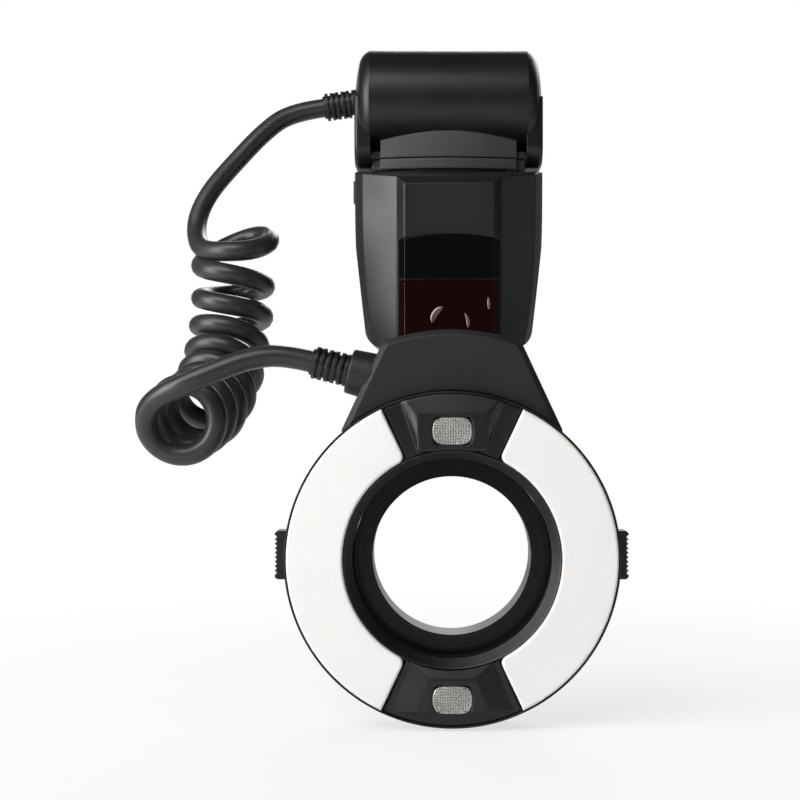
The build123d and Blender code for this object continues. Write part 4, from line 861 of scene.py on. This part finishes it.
def word_mark(name, words, node, size_mm, rise_mm=0.0):
    """Printed word on a key, or above or below it on the shell, upright from behind."""
    nothing_selected()
    bpy.ops.object.text_add()
    word = bpy.context.object
    word.name = name
    word.data.body = words
    word.data.size = size_mm * mm
    word.data.align_x = "CENTER"
    word.data.align_y = "CENTER"
    word.data.extrude = ink_thick / 2
    bpy.ops.object.convert(target="MESH")
    word = bpy.context.object
    place = face_middle(node) + Vector((0, ink_thick / 2, rise_mm * mm))
    if rise_mm:
        node = "body_rear_shell"
        place.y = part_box("lcd_window")[1][1] + ink_thick / 2
    word.rotation_euler = (math.radians(90), 0, math.radians(180))
    word.location = place
    return dress(word, legend_ink, node_bodies[node], facet_angle)


word_marks = [
    word_mark("word_ok", "OK", "ok_key", size_mm=2.4),
    word_mark("word_on", "ON", "power_switch", size_mm=2.2, rise_mm=8.3),
    word_mark("word_off", "OFF", "power_switch", size_mm=2.2, rise_mm=-5.6),
]
print("words:", [word.name for word in word_marks])

# %% [markdown]
# ## One bar of the display
#
# A display of this age draws with fixed segments, all of one shape: a bar with
# pointed ends. It is modelled once, from a six-sided cylinder whose two halves
# are pulled apart, and every stroke is a copy of it with its own mesh.

# %% Display bar
bar_half_width = 0.62 * mm
bar_half_length = 1.8 * mm


def segment_bar():
    """One upright bar of the display with pointed ends, at the origin."""
    nothing_selected()
    bpy.ops.mesh.primitive_cylinder_add(vertices=6, radius=bar_half_width, depth=ink_thick)
    bar = bpy.context.object
    for vertex in bar.data.vertices:
        vertex.co.y += math.copysign(bar_half_length - bar_half_width, vertex.co.y)
    return bar


def bar_copy(pattern, across, up, turn=0.0, stretch=1.0):
    """Copy of the bar, placed in millimetres as seen from behind, turned in degrees."""
    copy = pattern.copy()
    copy.data = pattern.data.copy()
    bpy.context.scene.collection.objects.link(copy)
    middle = face_middle("lcd_window")
    copy.scale = (1, stretch, 1)
    copy.rotation_euler = (math.radians(90), math.radians(-turn), 0)
    copy.location = (middle.x - across * mm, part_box("lcd_panel")[1][1] + ink_thick,
                     middle.z + up * mm)
    return copy


pattern_bar = segment_bar()
print("points of one bar:", len(pattern_bar.data.vertices))

# %% [markdown]
# ## What the display shows
#
# It reads a power of one quarter, and under it stands a scale of short bars. A
# stroke's table entry says how many half widths and steps it lies from the
# digit's middle, and its turn. The bars are joined to one piece at the end.

# %% Display segments
digit_half_width = 1.95
digit_step = 3.9
digit_level = 2.2
strokes = {
    "upper_left": (-1, 0.5, 0),
    "upper_right": (1, 0.5, 0),
    "lower_right": (1, -0.5, 0),
    "middle": (0, 0, 90),
}
one_at, four_at = -6.6, 4.4
one_strokes = ("upper_right", "lower_right")
four_strokes = ("upper_left", "middle", "upper_right", "lower_right")
slash_at = -0.8
slash_angle = 22.0
slash_stretch = 2.1
scale_bars = 11
scale_step = 2.3
scale_level = -5.9
scale_bar_stretch = 0.6

bars = []
for digit_at, names in ((one_at, one_strokes), (four_at, four_strokes)):
    for name in names:
        side, rise, turn = strokes[name]
        bars.append(bar_copy(pattern_bar, digit_at + side * digit_half_width,
                             digit_level + rise * digit_step, turn))
bars.append(bar_copy(pattern_bar, slash_at, digit_level, slash_angle, slash_stretch))
for k in range(scale_bars):
    across = (k - (scale_bars - 1) / 2) * scale_step
    bars.append(bar_copy(pattern_bar, across, scale_level, stretch=scale_bar_stretch))
bpy.data.objects.remove(pattern_bar)
only(bars[0])
for bar in bars:
    bar.select_set(True)
bpy.ops.object.join()
segments = bpy.context.object
segments.name = "display_segments"
dress(segments, segment_ink, node_bodies["lcd_panel"], facet_angle)
print("display bars:", len(bars))

# %% [markdown]
# ## Background
#
# The photograph is a white studio shot. The world is white to the camera, to
# what is seen through clear pieces and, straight behind the object, to glossy
# reflections, while the light that it gives the object is faint. So the white
# comes from what a ray asks, and not from more light.

# %% World
soft_strength = 0.06
white_strength = 1.0
behind_edge, behind_full = 0.75, 0.97

world = bpy.data.worlds.new("studio")
bpy.context.scene.world = world
world.use_nodes = True
tree = world.node_tree
tree.nodes.clear()
rays = add(tree, "ShaderNodeLightPath")
soft = add(tree, "ShaderNodeBackground",
           {"Color": linear("#ffffff"), "Strength": soft_strength})
white = add(tree, "ShaderNodeBackground",
            {"Color": linear("#ffffff"), "Strength": white_strength})
direction = add(tree, "ShaderNodeTexCoord").outputs["Generated"]
heading = add(tree, "ShaderNodeSeparateXYZ", links={0: direction})
behind = add(tree, "ShaderNodeMapRange", {"From Min": behind_edge, "From Max": behind_full},
             {"Value": heading.outputs["Y"]}, interpolation_type="SMOOTHSTEP")
mirrored = add(tree, "ShaderNodeMath", operation="MULTIPLY",
               links={0: rays.outputs["Is Glossy Ray"], 1: behind.outputs["Result"]})
through = add(tree, "ShaderNodeMath", operation="MAXIMUM",
              links={0: rays.outputs["Is Camera Ray"], 1: rays.outputs["Is Transmission Ray"]})
seen = add(tree, "ShaderNodeMath", operation="MAXIMUM",
           links={0: through.outputs[0], 1: mirrored.outputs[0]})
backdrop = add(tree, "ShaderNodeMixShader",
               links={0: seen.outputs[0], 1: soft.outputs[0], 2: white.outputs[0]})
add(tree, "ShaderNodeOutputWorld", links={"Surface": backdrop.outputs[0]})
print("world nodes:", len(tree.nodes))

# %% [markdown]
# ## Floor
#
# The floor is a painted board just under the ring. Near the object it is a plain
# pale surface that takes a shadow, and further away it fades to the white of the
# background, again only for the camera, so that no horizon shows.

# %% Floor
floor_level = -113.4 * mm
floor_size = 6.0
floor_middle = 1.2
floor_speck_mm = 25.0
fade_middle = (0, -0.1, 0)
fade_start, fade_end = 0.06, 0.4
fade_least = 0.68

nothing_selected()
bpy.ops.mesh.primitive_plane_add(size=floor_size, location=(0, floor_middle, floor_level))
floor = bpy.context.object
floor.name = "studio_floor"
apply_place(floor)
# Rolled white paint: matt, with a tone that hardly drifts.
painted_white, tree, shader, place = new_material("painted_white_floor")
speck = add(tree, "ShaderNodeTexNoise", {"Scale": 1 / (floor_speck_mm * mm), "Detail": 2.0},
            {"Vector": place})
tint = add(tree, "ShaderNodeMix", {"A": linear("#f4f4f4"), "B": linear("#f9f9f9")},
           {"Factor": speck.outputs["Fac"]}, data_type="RGBA")
tree.links.new(tint.outputs["Result"], shader.inputs["Base Color"])
shader.inputs["Roughness"].default_value = 0.7
distance = add(tree, "ShaderNodeVectorMath", {1: fade_middle}, {0: place}, operation="DISTANCE")
fade = add(tree, "ShaderNodeMapRange",
           {"From Min": fade_start, "From Max": fade_end, "To Min": fade_least},
           {"Value": distance.outputs["Value"]}, interpolation_type="SMOOTHSTEP")
rays = add(tree, "ShaderNodeLightPath")
share = add(tree, "ShaderNodeMath", operation="MULTIPLY",
            links={0: fade.outputs["Result"], 1: rays.outputs["Is Camera Ray"]})
glow = add(tree, "ShaderNodeEmission", {"Color": linear("#ffffff"), "Strength": white_strength})
whole = add(tree, "ShaderNodeMixShader",
            links={0: share.outputs[0], 1: shader.outputs["BSDF"], 2: glow.outputs[0]})
ending = next(n for n in tree.nodes if n.type == "OUTPUT_MATERIAL")
tree.links.new(whole.outputs[0], ending.inputs["Surface"])
floor.data.materials.append(painted_white)
print("floor at", floor_level, "metres")

# %% [markdown]
# ## Lamps
#
# Four soft boxes stand round the object, in metres from the foot. The tall side
# lamp on the left gives the bright left facets. A narrow fill lamp on the right
# keeps the right side from going black. The key lamp, high on the front left,
# lights the two opal windows and the rounds that face up. The back lamp, behind
# and above, lights the upper edges and the floor behind the object.

# %% Lamps
lamp_target = Vector((0.0, -0.05, 0.0))


def soft_lamp(name, place, width, height, watts):
    """Rectangular soft box that looks at the object."""
    data = bpy.data.lights.new(name, "AREA")
    data.shape = "RECTANGLE"
    data.size = width
    data.size_y = height
    data.energy = watts
    lamp = bpy.data.objects.new(name, data)
    lamp.location = place
    aim = lamp_target - Vector(place)
    lamp.rotation_euler = aim.to_track_quat("-Z", "Y").to_euler()
    bpy.context.scene.collection.objects.link(lamp)
    return lamp


lamps = [
    soft_lamp("side_lamp", (-0.93, -0.48, 0.15), width=0.5, height=0.9, watts=11.0),
    soft_lamp("fill_lamp", (0.95, -0.55, 0.1), width=0.25, height=0.6, watts=0.45),
    soft_lamp("key_lamp", (-0.5, -0.75, 0.85), width=0.95, height=0.6, watts=8.6),
    soft_lamp("back_lamp", (0.35, 1.1, 0.75), width=1.2, height=0.5, watts=9.0),
]
print("lamps:", [(lamp.name, round(lamp.data.energy, 2)) for lamp in lamps])

# %% [markdown]
# ## Finish
#
# The view transform is Standard, so a colour renders about as it is written.

# %% Finish
bpy.context.scene.view_settings.view_transform = "Standard"
